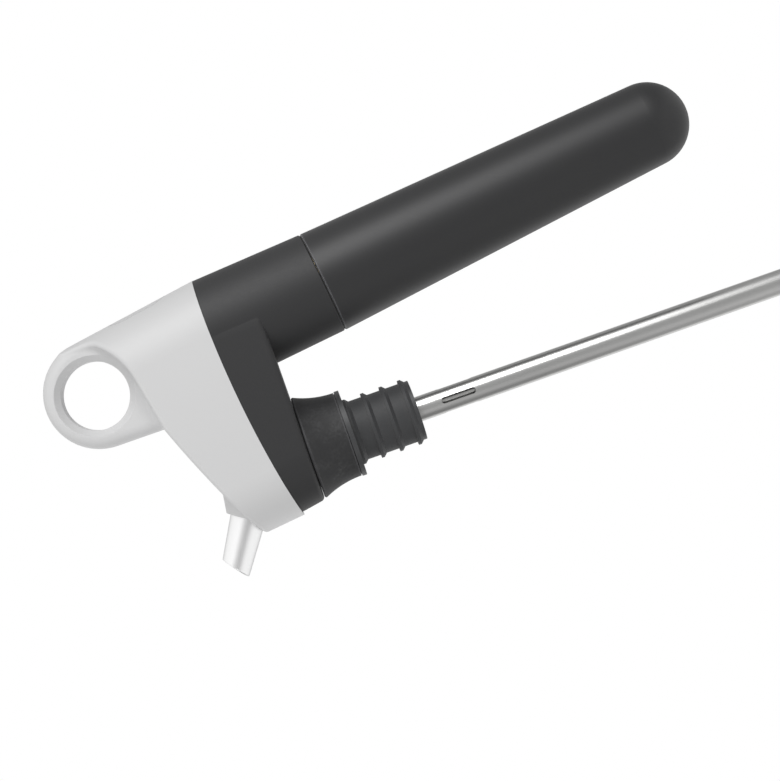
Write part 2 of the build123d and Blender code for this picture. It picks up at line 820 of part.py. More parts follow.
with BuildPart() as valve_block:
    with Locations((0, 0, floor_z)):
        Cylinder(block_foot_r, block_foot_h, align=(Align.CENTER, Align.CENTER, Align.MIN))
        Cylinder(tower_r, tower_top - floor_z, align=(Align.CENTER, Align.CENTER, Align.MIN))
    with BuildSketch(Plane.YZ.offset(deck_x)):
        with Locations((-valve_pin_y, valve_pin_z), (valve_pin_y, valve_pin_z)):
            Circle(barrel_r)
        with Locations((0, (deck_z + valve_pin_z + barrel_r) / 2)):
            Rectangle(2 * valve_pin_y, valve_pin_z + barrel_r - deck_z)
    extrude(amount=bulkhead_x - deck_x)
    with BuildSketch(Plane.YZ.offset(bulkhead_back)):
        with Locations((0, (bulkhead_low + bulkhead_high) / 2)):
            RectangleRounded(2 * bulkhead_half, bulkhead_high - bulkhead_low, ear_t)
    extrude(amount=bulkhead_t)
    with BuildSketch(Plane.YZ):
        with Locations((0, (bulkhead_low + valve_pin_z) / 2)):
            Rectangle(2 * web_half, valve_pin_z - bulkhead_low)
    extrude(amount=bulkhead_x)
    with BuildSketch(Plane.YZ.offset(bulkhead_x)):
        with Locations((0, inlet_z)):
            Circle(outlet_r)
    extrude(amount=inlet_h)
    turn(spout_side, spout_axis, ring_outline(0, socket_r, -socket_end, -socket_face))
    add(lever_ears.part)
    # Bores for the stem, its seal, the gas tube and the spout
    turn(Plane.XZ, Axis.Z, ring_outline(0, stem_r, floor_z, stem_top_z), Mode.SUBTRACT)
    seal_top = floor_z + stem_collar_h + stem_seal_h
    turn(Plane.XZ, Axis.Z, ring_outline(0, stem_collar_r, floor_z, seal_top), Mode.SUBTRACT)
    chamber_roof = stem_top_z + wine_chamber_h
    turn(Plane.XZ, Axis.Z, ring_outline(0, stem_bore_r, stem_top_z, chamber_roof), Mode.SUBTRACT)
    gallery_roof = gas_gallery_z + passage_r
    turn(Plane.XZ, Axis.Z, ring_outline(0, gas_tube_r, chamber_roof, gallery_roof), Mode.SUBTRACT)
    turn(spout_side, spout_axis, ring_outline(0, socket_bore_r, -socket_end, 0), Mode.SUBTRACT)
    turn(spout_side, spout_axis, ring_outline(0, socket_seal_r, -socket_face - seal_room, 0), Mode.SUBTRACT)
    # Valve bores, and the passages that the pins' waists join when they are pushed in
    for side in valve_sides.values():
        bore_end = valve_pin_start - valve_pin_room
        mouth = (bulkhead_x, side, valve_pin_z)
        drill(mouth, (bore_end, side, valve_pin_z), valve_bore_r)
        drill(mouth, (bulkhead_x - pin_seal_h, side, valve_pin_z), pin_seal_r)
    gas_y, wine_y = valve_sides["gas"], valve_sides["wine"]
    drill((bulkhead_x + inlet_h, 0, inlet_z), (port_in - passage_r, 0, inlet_z), passage_r)
    drill((port_in, 0, inlet_z), (port_in, gas_y, valve_pin_z), passage_r)
    drill((0, 0, gas_gallery_z), (port_out, gas_y, valve_pin_z), passage_r)
    drill((0, 0, stem_top_z + passage_r), (port_in, wine_y, valve_pin_z), passage_r)
    socket_back = spout_axis.position - spout_axis.direction * (socket_end - passage_r)
    drill(socket_back + Vector(0, wine_y / 2, 0), (port_out, wine_y, valve_pin_z), passage_r)
    with Locations((0, 0, floor_z + screw_length)):
        with GridLocations(2 * screw_x, 2 * screw_y, 2, 2):
            Hole(screw_r, depth=screw_length)
finish(valve_block, "valve_block")

with BuildPart() as pin_seals:
    for side in valve_sides.values():
        section = ring_outline(valve_pin_r + seal_gap, pin_seal_r, bulkhead_x - pin_seal_h, bulkhead_x)
        turn(*valve_planes(side), section)
finish(pin_seals, "pin_seals")

with BuildPart() as seal_washers:
    for side in valve_sides.values():
        section = ring_outline(valve_pin_r + washer_play, washer_r, bulkhead_x, bulkhead_x + washer_h)
        turn(*valve_planes(side), section)
finish(seal_washers, "seal_washers")

for name, side in valve_sides.items():
    with BuildPart() as valve_pin:
        outline = (
            (0, valve_pin_start),
            (valve_pin_r, valve_pin_start),
            (valve_pin_r, waist_low),
            (waist_r, waist_low),
            (waist_r, waist_high),
            (valve_pin_r, waist_high),
            (valve_pin_r, disc_x),
            (disc_r, disc_x),
            (disc_r, disc_x + disc_h),
            (valve_pin_r, disc_x + disc_h),
            (valve_pin_r, valve_pin_end),
            (0, valve_pin_end),
        )
        turn(*valve_planes(side), outline)
        fillet(valve_pin.faces().sort_by(Axis.X)[-1].edges(), tip_round)
    finish(valve_pin, f"{name}_valve_pin")

with BuildPart() as valve_springs:
    for side in valve_sides.values():
        seat = Plane(origin=(bulkhead_x + washer_h, side, valve_pin_z), z_dir=(1, 0, 0))
        room = disc_x - bulkhead_x - washer_h
        add(coil(seat, pin_spring_r, room, pin_spring_turns, pin_wire_w, pin_wire_h))
finish(valve_springs, "valve_springs")

with BuildPart() as valve_lever:
    with BuildSketch(Plane.XZ.offset(-lever_half)):
        with Locations((pivot_x - lever_front, pivot_z)):
            Rectangle(lever_front + lever_back, lever_top - pivot_z, align=(Align.MIN, Align.MIN))
        with Locations(pivot):
            Circle(lever_hub_r)
            Circle(pivot_r + running_gap, mode=Mode.SUBTRACT)
    extrude(amount=2 * lever_half)
    fillet(valve_lever.faces().sort_by(Axis.Z)[-1].edges().filter_by(Axis.X), lever_hub_r)
finish(valve_lever, "valve_lever")

with BuildPart() as lever_pin:
    with BuildSketch(Plane.XZ):
        with Locations(pivot):
            Circle(pivot_r)
    extrude(amount=bulkhead_half, both=True)
finish(lever_pin, "lever_pin")

# ---- Pour button -----------------------------------------------------------------------------------
with BuildPart() as button_head:
    add(obround(button_depth, 0, reach))
    add(cover_form(0), mode=Mode.INTERSECT)

with BuildPart() as button_flange:
    add(obround(button_depth, button_rim, reach))
    add(cover_form(cover_wall + clear_gap), mode=Mode.INTERSECT)

# Room that the button may fill: pushed all the way in, its top clears the hollow under the ring
with BuildPart() as pushed_room:
    extrude(body_profile(cover_wall + clear_gap), amount=reach, both=True)
button_room = pushed_room.part.translate(Vector(button_out) * button_travel)

with BuildPart() as pour_button:
    add(button_head.part)
    add(button_flange.part)
    add(button_room, mode=Mode.INTERSECT)
    with BuildSketch(button_face.offset(-button_depth)):
        Circle(plunger_r)
    extrude(amount=button_depth + plunger_r - push_depth)
    with Locations(button_face.offset(plunger_r - push_depth)):
        Sphere(plunger_r)
finish(pour_button, "pour_button")

with BuildPart() as button_guide:
    with BuildSketch(button_face.offset(-guide_depth)):
        with Locations((0, (guide_up - guide_down) / 2)):
            Rectangle(reach, guide_up + guide_down)
        Circle(plunger_r + running_gap, mode=Mode.SUBTRACT)
    extrude(amount=-guide_t)
    add(cover_form(cover_wall), mode=Mode.INTERSECT)
finish(button_guide, "button_guide")

with BuildPart() as button_spring:
    seat = button_face.offset(-guide_depth)
    room = guide_depth - button_depth
    add(coil(seat, button_spring_r, room, button_spring_turns, button_wire_w, button_wire_h))
finish(button_spring, "button_spring")

# ---- Gas regulator ---------------------------------------------------------------------------------
with BuildPart() as regulator_body:
    pin_seat = gasket_top - piercing_pin_h
    outline = (
        (piercing_pin_r, gasket_top),
        (neck_bore_r, gasket_top),
        (neck_bore_r, thread_length),
        (thread_r, thread_length),
        (thread_r, 0),
        (collar_bore_r, 0),
        (collar_bore_r, -regulator_flange_h),
        (chamber_r, -regulator_flange_h),
        (chamber_r, -chamber_top),
        (chamber_bore_r, -chamber_top),
        (chamber_bore_r, -chamber_floor),
        (passage_r, -chamber_floor),
        (passage_r, pin_seat),
        (piercing_pin_r, pin_seat),
    )
    turn(handle_side, handle_axis, outline)
finish(regulator_body, "regulator_body")

with BuildPart() as piercing_pin:
    outline = (
        (piercing_bore_r, pin_seat),
        (piercing_pin_r, pin_seat),
        (piercing_pin_r, gasket_top),
        (piercing_tip_r, gasket_top + piercing_tip_h),
        (piercing_bore_r, gasket_top + piercing_tip_h),
    )
    turn(handle_side, handle_axis, outline)
finish(piercing_pin, "piercing_pin")

with BuildPart() as capsule_gasket:
    section = ring_outline(piercing_pin_r + gasket_gap, neck_bore_r, gasket_top, gasket_top + gasket_h)
    turn(handle_side, handle_axis, section)
finish(capsule_gasket, "capsule_gasket")

with BuildPart() as regulator_piston:
    piston_low = -chamber_floor - piston_rest
    piston_r = chamber_bore_r - running_gap
    outline = ring_outline(0, piston_r, piston_low - piston_h, piston_low)
    turn(handle_side, handle_axis, outline)
    groove_mid = piston_low - piston_h / 2
    groove_r = piston_r - 2 * piston_wire_r
    groove_low, groove_high = groove_mid - piston_wire_r, groove_mid + piston_wire_r
    groove = ring_outline(groove_r, piston_r + over, groove_low, groove_high)
    turn(handle_side, handle_axis, groove, Mode.SUBTRACT)
finish(regulator_piston, "regulator_piston")

with BuildPart() as piston_seal:
    with BuildSketch(handle_side):
        with Locations((piston_r - piston_wire_r, groove_mid)):
            Circle(piston_wire_r)
    revolve(axis=handle_axis)
finish(piston_seal, "piston_seal")

with BuildPart() as regulator_spring:
    spring_low = piston_h - piston_low
    seat = seam_plane.offset(spring_low)
    room = chamber_top - spring_low
    add(coil(seat, regulator_spring_r, room, regulator_spring_turns, regulator_wire_w, regulator_wire_h))
finish(regulator_spring, "regulator_spring")

lid_top = seam_plane.offset(chamber_top + regulator_lid_h)
with BuildPart() as regulator_lid:
    with BuildSketch(seam_plane.offset(chamber_top)):
        Circle(chamber_r)
    extrude(amount=regulator_lid_h)
    fillet(regulator_lid.faces().sort_by(Axis.Z)[-1].edges(), regulator_lid_edge)
    with BuildSketch(lid_top):
        with Locations((-outlet_offset, 0)):
            Circle(outlet_r)
    extrude(amount=outlet_h)
    with BuildSketch(seam_plane.offset(chamber_top)):
        with Locations((-outlet_offset, 0)):
            Circle(outlet_bore_r)
    extrude(amount=regulator_lid_h + outlet_h, mode=Mode.SUBTRACT)
finish(regulator_lid, "regulator_lid")

with BuildPart() as gas_hose:
    hose_start = lid_top.from_local_coords((-outlet_offset, 0, 0))
    climb = (inlet_z - hose_start.Z) / math.cos(handle_tilt)
    corner = hose_start + Vector(handle_up) * climb
    with BuildLine():
        FilletPolyline(hose_start, corner, (bulkhead_x, 0, inlet_z), radius=hose_bend)
    with BuildSketch(Plane(origin=hose_start, z_dir=handle_up)):
        Circle(outlet_r + hose_wall)
        Circle(outlet_r, mode=Mode.SUBTRACT)
    sweep()
finish(gas_hose, "gas_hose")

# ---- Handle ----------------------------------------------------------------------------------------
dome_at = cup_length - cup_dome_r
bore_turn_at = cup_bottom - cup_bore_r
with BuildPart() as capsule_cup:
    brow = tangent_point((seam_r, seam_gap + seam_edge), (0, dome_at), cup_dome_r)
    with BuildSketch(handle_side):
        with BuildLine():
            Line((seam_r, seam_gap + seam_edge), brow)
            ThreePointArc(brow, dome_point(dome_at, cup_dome_r), (0, cup_length))
            Line((0, cup_length), (0, cup_bottom))
            ThreePointArc((0, cup_bottom), dome_point(bore_turn_at, cup_bore_r), (cup_bore_r, bore_turn_at))
            Polyline(
                (cup_bore_r, bore_turn_at),
                (cup_bore_r, cup_neck),
                (thread_r + clear_gap, cup_neck - cup_neck_slope),
                (thread_r + clear_gap, insert_low),
                (insert_r, insert_low),
                (insert_r, seam_gap),
                (seam_r - seam_edge, seam_gap),
                (seam_r, seam_gap + seam_edge),
            )
        make_face()
    revolve(axis=handle_axis)
finish(capsule_cup, "capsule_cup")

with BuildPart() as cup_thread_ring:
    turn(handle_side, handle_axis, ring_outline(insert_bore_r, insert_r, insert_low - insert_h, insert_low))
finish(cup_thread_ring, "cup_thread_ring")

with BuildPart() as cup_pad:
    rim_angle = math.asin(pad_r / cup_bore_r)
    rim = dome_point(bore_turn_at, cup_bore_r, rim_angle)
    pad_top = cup_bottom - pad_h
    with BuildSketch(handle_side):
        with BuildLine():
            ThreePointArc((0, cup_bottom), dome_point(bore_turn_at, cup_bore_r, rim_angle / 2), rim)
            Polyline(rim, (pad_r, pad_top), (0, pad_top), (0, cup_bottom))
        make_face()
    revolve(axis=handle_axis)
finish(cup_pad, "cup_pad")

with BuildPart() as gas_capsule:
    round_at = capsule_end - capsule_r
    neck_low = capsule_top + capsule_neck_h
    shoulder_low = neck_low + capsule_shoulder_h
    shoulder_mid = (neck_low + shoulder_low) / 2
    for wall, mode in ((0, Mode.ADD), (capsule_wall, Mode.SUBTRACT)):
        body_r, neck_r, end = capsule_r - wall, capsule_neck_r - wall, capsule_end - wall
        mouth_at = capsule_top + wall
        swell = ((neck_r + body_r) / 2, shoulder_mid)
        with BuildSketch(handle_side) as section:
            with BuildLine():
                Polyline((0, end), (0, mouth_at), (neck_r, mouth_at), (neck_r, neck_low))
                TangentArc((neck_r, neck_low), swell, tangent=(0, 1))
                TangentArc((body_r, shoulder_low), swell, tangent=(0, -1))
                Line((body_r, shoulder_low), (body_r, round_at))
                ThreePointArc((body_r, round_at), dome_point(round_at, body_r), (0, end))
            make_face()
        revolve(section.sketch, axis=handle_axis, mode=mode)
    turn(
        handle_side,
        handle_axis,
        ring_outline(0, capsule_pierce_r, capsule_top - over, capsule_top + capsule_wall + over),
        Mode.SUBTRACT,
    )
finish(gas_capsule, "gas_capsule")
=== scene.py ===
"""Looks of a wine preservation dispenser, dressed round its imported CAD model.

The dispenser stands on its stopper at the origin, +Z up along the stem. Lengths are metres, unless a
name ends in _mm. Every sub-assembly is a class that builds its own pieces and dresses its nodes.
"""

import json
import logging
import math
from collections.abc import Iterable, Sequence
from dataclasses import dataclass, field, replace
from enum import Enum
from itertools import product
from typing import ClassVar

import bmesh
import bpy
from mathutils import Matrix, Vector


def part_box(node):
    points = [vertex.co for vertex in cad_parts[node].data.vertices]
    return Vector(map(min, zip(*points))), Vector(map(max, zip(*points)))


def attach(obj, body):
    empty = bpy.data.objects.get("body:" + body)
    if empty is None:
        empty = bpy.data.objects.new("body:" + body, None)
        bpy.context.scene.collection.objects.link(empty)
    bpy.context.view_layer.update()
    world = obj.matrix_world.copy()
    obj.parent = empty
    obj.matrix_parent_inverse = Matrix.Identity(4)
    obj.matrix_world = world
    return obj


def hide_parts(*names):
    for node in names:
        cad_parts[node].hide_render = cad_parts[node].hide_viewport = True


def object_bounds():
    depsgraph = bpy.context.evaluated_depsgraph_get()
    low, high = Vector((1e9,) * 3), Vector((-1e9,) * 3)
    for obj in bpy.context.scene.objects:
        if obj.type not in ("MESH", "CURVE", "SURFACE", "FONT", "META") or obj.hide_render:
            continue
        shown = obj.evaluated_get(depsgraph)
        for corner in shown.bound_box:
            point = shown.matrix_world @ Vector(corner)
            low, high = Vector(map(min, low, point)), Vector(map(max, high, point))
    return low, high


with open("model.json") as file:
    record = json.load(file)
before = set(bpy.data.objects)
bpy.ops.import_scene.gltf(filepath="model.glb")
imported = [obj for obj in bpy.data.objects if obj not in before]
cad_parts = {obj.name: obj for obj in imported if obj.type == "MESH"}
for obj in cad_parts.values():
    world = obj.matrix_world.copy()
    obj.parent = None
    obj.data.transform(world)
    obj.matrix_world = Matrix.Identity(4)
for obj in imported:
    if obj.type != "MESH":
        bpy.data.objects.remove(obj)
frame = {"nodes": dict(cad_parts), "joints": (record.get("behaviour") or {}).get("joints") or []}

MM = 0.001
CAD_BOX = [list(corner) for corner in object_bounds()]

log = logging.getLogger("dispenser")


class Slot(Enum):
    """Material slots of the record."""

    LIGHT_SHELL = "light_shell"
    DARK_SHELL = "dark_shell"
    SOFT_GRIP = "soft_grip"
    BUTTON_PLASTIC = "button_plastic"
    SPOUT_STEEL = "spout_steel"
    STEM_STEEL = "stem_steel"
    CAPSULE_STEEL = "capsule_steel"
    HARD_STEEL = "hard_steel"
    SPRING_STEEL = "spring_steel"
    BRASS_FITTINGS = "brass_fittings"
    FRAME_PLASTIC = "frame_plastic"
    SILICONE = "silicone"
    SEAL_RUBBER = "seal_rubber"


class Body(Enum):
    """Bodies that built pieces ride on."""

    STOPPER = "stopper"
    HEAD = "head"


class Lay(Enum):
    """Which way the marks of a metal's finish run: the scale of their texture on each axis."""

    ALONG = (1.0, 1.0, 0.03)
    ROUND = (0.04, 0.04, 1.0)
    CAST = (1.0, 1.0, 1.0)


class Kind(Enum):
    """Kinds of socket that an effect takes and gives."""

    FLOAT = "NodeSocketFloat"
    COLOUR = "NodeSocketColor"
    VECTOR = "NodeSocketVector"


class Step(Enum):
    """How a ramp gets from its low level to its high one."""

    STRAIGHT = "LINEAR"
    EASED = "SMOOTHSTEP"


# ---- Shader graphs ----------------------------------------------------------------------------------

Socket = bpy.types.NodeSocket
Feeds = dict[str | int, object]
Tone = tuple[float, float, float]


@dataclass(frozen=True)
class Ramp:
    """A level that goes from low to high between two values, and stays level outside them."""

    start: float = 0.0
    end: float = 1.0
    low: float = 0.0
    high: float = 1.0
    step: Step = Step.STRAIGHT


class Graph:
    """Adds nodes to one node tree and joins their sockets."""

    def __init__(self, tree: bpy.types.NodeTree) -> None:
        """Starts on a tree, which is emptied."""
        self.tree = tree
        self.tree.nodes.clear()

    def feed(self, node: bpy.types.Node, feeds: Feeds) -> None:
        """Sets inputs of a node.

        Args:
            node: a node of this tree.
            feeds: for each input, by name or place, a plain value or the socket that feeds it.
        """
        for key, value in feeds.items():
            if isinstance(value, Socket):
                self.tree.links.new(value, node.inputs[key])
            else:
                node.inputs[key].default_value = value

    def add(self, kind: str, feeds: Feeds | None = None, **settings: object) -> bpy.types.Node:
        """Adds one node.

        Args:
            kind: the node's type, such as ShaderNodeMath.
            feeds: its inputs, as in feed.
            settings: properties of the node itself.

        Returns:
            The new node.
        """
        node = self.tree.nodes.new(kind)
        for name, value in settings.items():
            setattr(node, name, value)
        self.feed(node, feeds or {})
        return node

    def math(self, operation: str, *values: object, clamp: bool = False) -> Socket:
        """Adds a Math node and returns its result."""
        node = self.add("ShaderNodeMath", dict(enumerate(values)), operation=operation, use_clamp=clamp)
        return node.outputs[0]

    def dot(self, first: object, second: object) -> Socket:
        """Adds a Vector Math node and returns the dot product."""
        feeds = {0: first, 1: second}
        return self.add("ShaderNodeVectorMath", feeds, operation="DOT_PRODUCT").outputs["Value"]

    def mix(self, factor: object, first: object, second: object) -> Socket:
        """Adds a colour Mix node and returns its result."""
        feeds = {0: factor, 6: first, 7: second}
        return self.add("ShaderNodeMix", feeds, data_type="RGBA").outputs[2]

    def weigh(self, first: Socket, second: Socket, share: float) -> Socket:
        """Adds up a share of one value and the rest of the other."""
        rest = self.math("MULTIPLY", second, 1.0 - share)
        return self.math("ADD", self.math("MULTIPLY", first, share), rest)

    def ramp(self, value: Socket, ramp: Ramp) -> Socket:
        """Adds a Map Range node that follows a ramp and returns its result."""
        feeds = {0: value, 1: ramp.start, 2: ramp.end, 3: ramp.low, 4: ramp.high}
        return self.add("ShaderNodeMapRange", feeds, interpolation_type=ramp.step.value).outputs[0]

    def noise(self, place: Socket, scale: object, detail: float) -> Socket:
        """Adds a noise texture and returns its value."""
        feeds = {"Vector": place, "Scale": scale, "Detail": detail}
        return self.add("ShaderNodeTexNoise", feeds).outputs[0]

    def relief(self, height: Socket, depth_mm: float) -> Socket:
        """Adds a Bump node that makes a height of 0 to 1 that deep, and returns its normal."""
        feeds = {"Strength": 1.0, "Distance": depth_mm * MM, "Height": height}
        return self.add("ShaderNodeBump", feeds).outputs[0]

    def place(self) -> Socket:
        """Position on the object, in metres."""
        return self.add("ShaderNodeTexCoord").outputs["Object"]


# ---- Effects ----------------------------------------------------------------------------------------


@dataclass(frozen=True)
class Effect:
    """A surface effect that several finishes share, kept as one node group.

    Attributes:
        name: the group's name.
        inputs: for each input, its kind and the value that it starts with.
        outputs: the kind of each output.
    """

    name: ClassVar[str]
    inputs: ClassVar[dict[str, tuple[Kind, object]]]
    outputs: ClassVar[dict[str, Kind]]

    def fill(self, graph: Graph, given: bpy.types.bpy_prop_collection) -> Feeds:
        """Builds the nodes inside the group.

        Args:
            graph: the group's graph.
            given: the group's inputs, by name.

        Returns:
            The socket that feeds each output.
        """
        raise NotImplementedError

    def group(self) -> bpy.types.NodeTree:
        """Finds the node group, or builds it the first time that it is asked for.

        Returns:
            The node group.
        """
        found = bpy.data.node_groups.get(self.name)
        if found:
            return found
        tree = bpy.data.node_groups.new(self.name, "ShaderNodeTree")
        graph = Graph(tree)
        for name, (kind, start) in self.inputs.items():
            socket = tree.interface.new_socket(name, in_out="INPUT", socket_type=kind.value)
            socket.default_value = start
        for name, kind in self.outputs.items():
            tree.interface.new_socket(name, in_out="OUTPUT", socket_type=kind.value)
        results = self.fill(graph, graph.add("NodeGroupInput").outputs)
        graph.add("NodeGroupOutput", results)
        return tree

    def use(self, graph: Graph, **values: object) -> bpy.types.bpy_prop_collection:
        """Places the group in a material, with its inputs by name, and returns its outputs."""
        return graph.add("ShaderNodeGroup", values, node_tree=self.group()).outputs


@dataclass(frozen=True)
class Grain(Effect):
    """Spark-eroded texture of a moulded surface: fine pits under a slower swell."""

    name = "moulded_grain"
    inputs = {"Scale": (Kind.FLOAT, 3000.0)}
    outputs = {"Height": Kind.FLOAT, "Mask": Kind.FLOAT}
    pit_detail: float = 3.0
    pit_share: float = 0.7
    swell_detail: float = 1.0
    swell_slower: float = 0.12
    contrast: float = 2.0
    cut: float = 0.5

    def fill(self, graph: Graph, given: bpy.types.bpy_prop_collection) -> Feeds:
        """Builds the texture.

        Args:
            graph: the group's graph.
            given: the group's inputs, by name.

        Returns:
            The surface's height, and a mask of its peaks.
        """
        place = graph.place()
        pits = graph.noise(place, given["Scale"], self.pit_detail)
        slower = graph.math("MULTIPLY", given["Scale"], self.swell_slower)
        swell = graph.noise(place, slower, self.swell_detail)
        peaks = graph.math("SUBTRACT", graph.math("MULTIPLY", pits, self.contrast), self.cut, clamp=True)
        return {"Height": graph.weigh(pits, swell, self.pit_share), "Mask": peaks}


@dataclass(frozen=True)
class Drift(Effect):
    """Slow change of tone over a surface, round the given colour."""

    name = "tone_drift"
    inputs = {
        "Colour": (Kind.COLOUR, (1.0, 1.0, 1.0, 1.0)),
        "Scale": (Kind.FLOAT, 30.0),
        "Amount": (Kind.FLOAT, 0.1),
    }
    outputs = {"Colour": Kind.COLOUR}
    detail: float = 2.0
    middle: float = 0.5

    def fill(self, graph: Graph, given: bpy.types.bpy_prop_collection) -> Feeds:
        """Builds the drift.

        Args:
            graph: the group's graph.
            given: the group's inputs, by name.

        Returns:
            The colour with its drift.
        """
        cloud = graph.noise(graph.place(), given["Scale"], self.detail)
        swing = graph.math("MULTIPLY", graph.math("SUBTRACT", cloud, self.middle), given["Amount"])
        feeds = {0: given["Colour"], "Scale": graph.math("ADD", swing, 1.0)}
        return {"Colour": graph.add("ShaderNodeVectorMath", feeds, operation="SCALE").outputs[0]}


@dataclass(frozen=True)
class EdgeWearAndHighlight(Effect):
    """Where edges are rubbed, and where a painted highlight lies along them: the rounded normal leaves
    the true one, broken up by noise.
    """

    name = "edge_wear_and_highlight"
    inputs = {"Width": (Kind.FLOAT, 0.0004), "Amount": (Kind.FLOAT, 0.5)}
    outputs = {"Mask": Kind.FLOAT}
    samples: int = 4
    patch_scale: float = 900.0
    patch_detail: float = 3.0
    patches: Ramp = Ramp(low=0.4, high=1.6)
    gain: float = 6.0

    def fill(self, graph: Graph, given: bpy.types.bpy_prop_collection) -> Feeds:
        """Builds the mask.

        Args:
            graph: the group's graph.
            given: the group's inputs, by name.

        Returns:
            A mask of the rubbed edges and of their painted highlight.
        """
        rounded = graph.add("ShaderNodeBevel", {"Radius": given["Width"]}, samples=self.samples)
        true = graph.add("ShaderNodeNewGeometry").outputs["Normal"]
        bend = graph.math("SUBTRACT", 1.0, graph.dot(rounded.outputs[0], true))
        cloud = graph.noise(graph.place(), self.patch_scale, self.patch_detail)
        amount = graph.math("MULTIPLY", given["Amount"], graph.ramp(cloud, self.patches))
        bent = graph.math("MULTIPLY", bend, self.gain)
        return {"Mask": graph.math("MULTIPLY", bent, amount, clamp=True)}


@dataclass(frozen=True)
class CornerShadeAndDust(Effect):
    """Painted shade and dust in corners, found by ambient occlusion, and dust that lies loose in specks.
    """

    name = "corner_shade_and_dust"
    inputs = {"Reach": (Kind.FLOAT, 0.002), "Amount": (Kind.FLOAT, 0.3)}
    outputs = {"Mask": Kind.FLOAT}
    samples: int = 4
    speck_scale: float = 1400.0
    speck_share: float = 0.12
    cloud_scale: float = 120.0
    cloud_detail: float = 3.0
    loose_share: float = 0.5

    def fill(self, graph: Graph, given: bpy.types.bpy_prop_collection) -> Feeds:
        """Builds the mask.

        Args:
            graph: the group's graph.
            given: the group's inputs, by name.

        Returns:
            A mask of the painted corner shade and of the dust.
        """
        place = graph.place()
        # Ambient occlusion marks corners and creases; on pale plastics the grey drawn into them is
        # painted shade.
        shut = graph.add("ShaderNodeAmbientOcclusion", {"Distance": given["Reach"]}, samples=self.samples)
        corner = graph.math("SUBTRACT", 1.0, shut.outputs["AO"])
        cells = graph.add("ShaderNodeTexVoronoi", {"Vector": place, "Scale": self.speck_scale})
        specks = graph.math("LESS_THAN", cells.outputs["Distance"], self.speck_share)
        cloud = graph.noise(place, self.cloud_scale, self.cloud_detail)
        loose = graph.math("MULTIPLY", specks, graph.math("MULTIPLY", cloud, self.loose_share))
        total = graph.math("ADD", graph.math("MULTIPLY", corner, cloud), loose)
        return {"Mask": graph.math("MULTIPLY", total, given["Amount"], clamp=True)}


@dataclass(frozen=True)
class FinishMarks(Effect):
    """Fine marks of a metal's finish, drawn out along or round an axis."""

    name = "metal_lay"
    inputs = {"Turn": (Kind.VECTOR, (0.0, 0.0, 0.0)), "Stretch": (Kind.VECTOR, (1.0, 1.0, 1.0))}
    outputs = {"Height": Kind.FLOAT, "Mask": Kind.FLOAT}
    fine_scale: float = 6000.0
    fine_detail: float = 4.0
    fine_share: float = 0.6
    broad_scale: float = 900.0
    broad_detail: float = 2.0

    def fill(self, graph: Graph, given: bpy.types.bpy_prop_collection) -> Feeds:
        """Builds the marks.

        Args:
            graph: the group's graph.
            given: the group's inputs, by name.

        Returns:
            The marks' height, and the same as a mask.
        """
        feeds = {"Vector": graph.place(), "Rotation": given["Turn"], "Scale": given["Stretch"]}
        drawn = graph.add("ShaderNodeMapping", feeds, vector_type="POINT").outputs[0]
        fine = graph.noise(drawn, self.fine_scale, self.fine_detail)
        broad = graph.noise(drawn, self.broad_scale, self.broad_detail)
        marks = graph.weigh(fine, broad, self.fine_share)
        return {"Height": marks, "Mask": graph.ramp(marks, Ramp())}


# ---- Finishes ---------------------------------------------------------------------------------------


def opaque(tone: Tone, gain: float = 1.0, lift: float = 0.0) -> tuple[float, float, float, float]:
    """A tone as a full colour, brightened by a gain and a lift, and held at white."""
    red, green, blue = (min(1.0, part * gain + lift) for part in tone)
    return red, green, blue, 1.0


def material(name: str) -> tuple[bpy.types.Material, Graph, bpy.types.Node]:
    """Makes a plain node material.

    Args:
        name: the material's name.

    Returns:
        The material, its graph, and the Principled shader that it shows.
    """
    made = bpy.data.materials.new(name)
    made.use_nodes = True
    graph = Graph(made.node_tree)
    shader = graph.add("ShaderNodeBsdfPrincipled")
    graph.add("ShaderNodeOutputMaterial", {"Surface": shader.outputs[0]})
    return made, graph, shader


@dataclass(frozen=True)
class Rubbing:
    """Pale flecks in cloudy patches, as on a cap that is gripped and turned."""

    amount: float = 0.8
    cloud_scale: float = 210.0
    cloud_detail: float = 4.0
    clouds: Ramp = Ramp(0.42, 0.68)
    fleck_scale: float = 1300.0
    fleck_detail: float = 3.0
    flecks: Ramp = Ramp(0.35, 0.75)
    gain: float = 2.0
    lift: float = 0.02

    def over(self, graph: Graph, colour: Socket, tone: Tone) -> Socket:
        """Lays the flecks over a colour.

        Args:
            graph: the material's graph.
            colour: the colour under the flecks.
            tone: the plain tone that the flecks are paler than.

        Returns:
            The colour with its flecks.
        """
        place = graph.place()
        clouds = graph.ramp(graph.noise(place, self.cloud_scale, self.cloud_detail), self.clouds)
        flecks = graph.ramp(graph.noise(place, self.fleck_scale, self.fleck_detail), self.flecks)
        mask = graph.math("MULTIPLY", graph.math("MULTIPLY", clouds, flecks), self.amount, clamp=True)
        return graph.mix(mask, colour, opaque(tone, self.gain, self.lift))


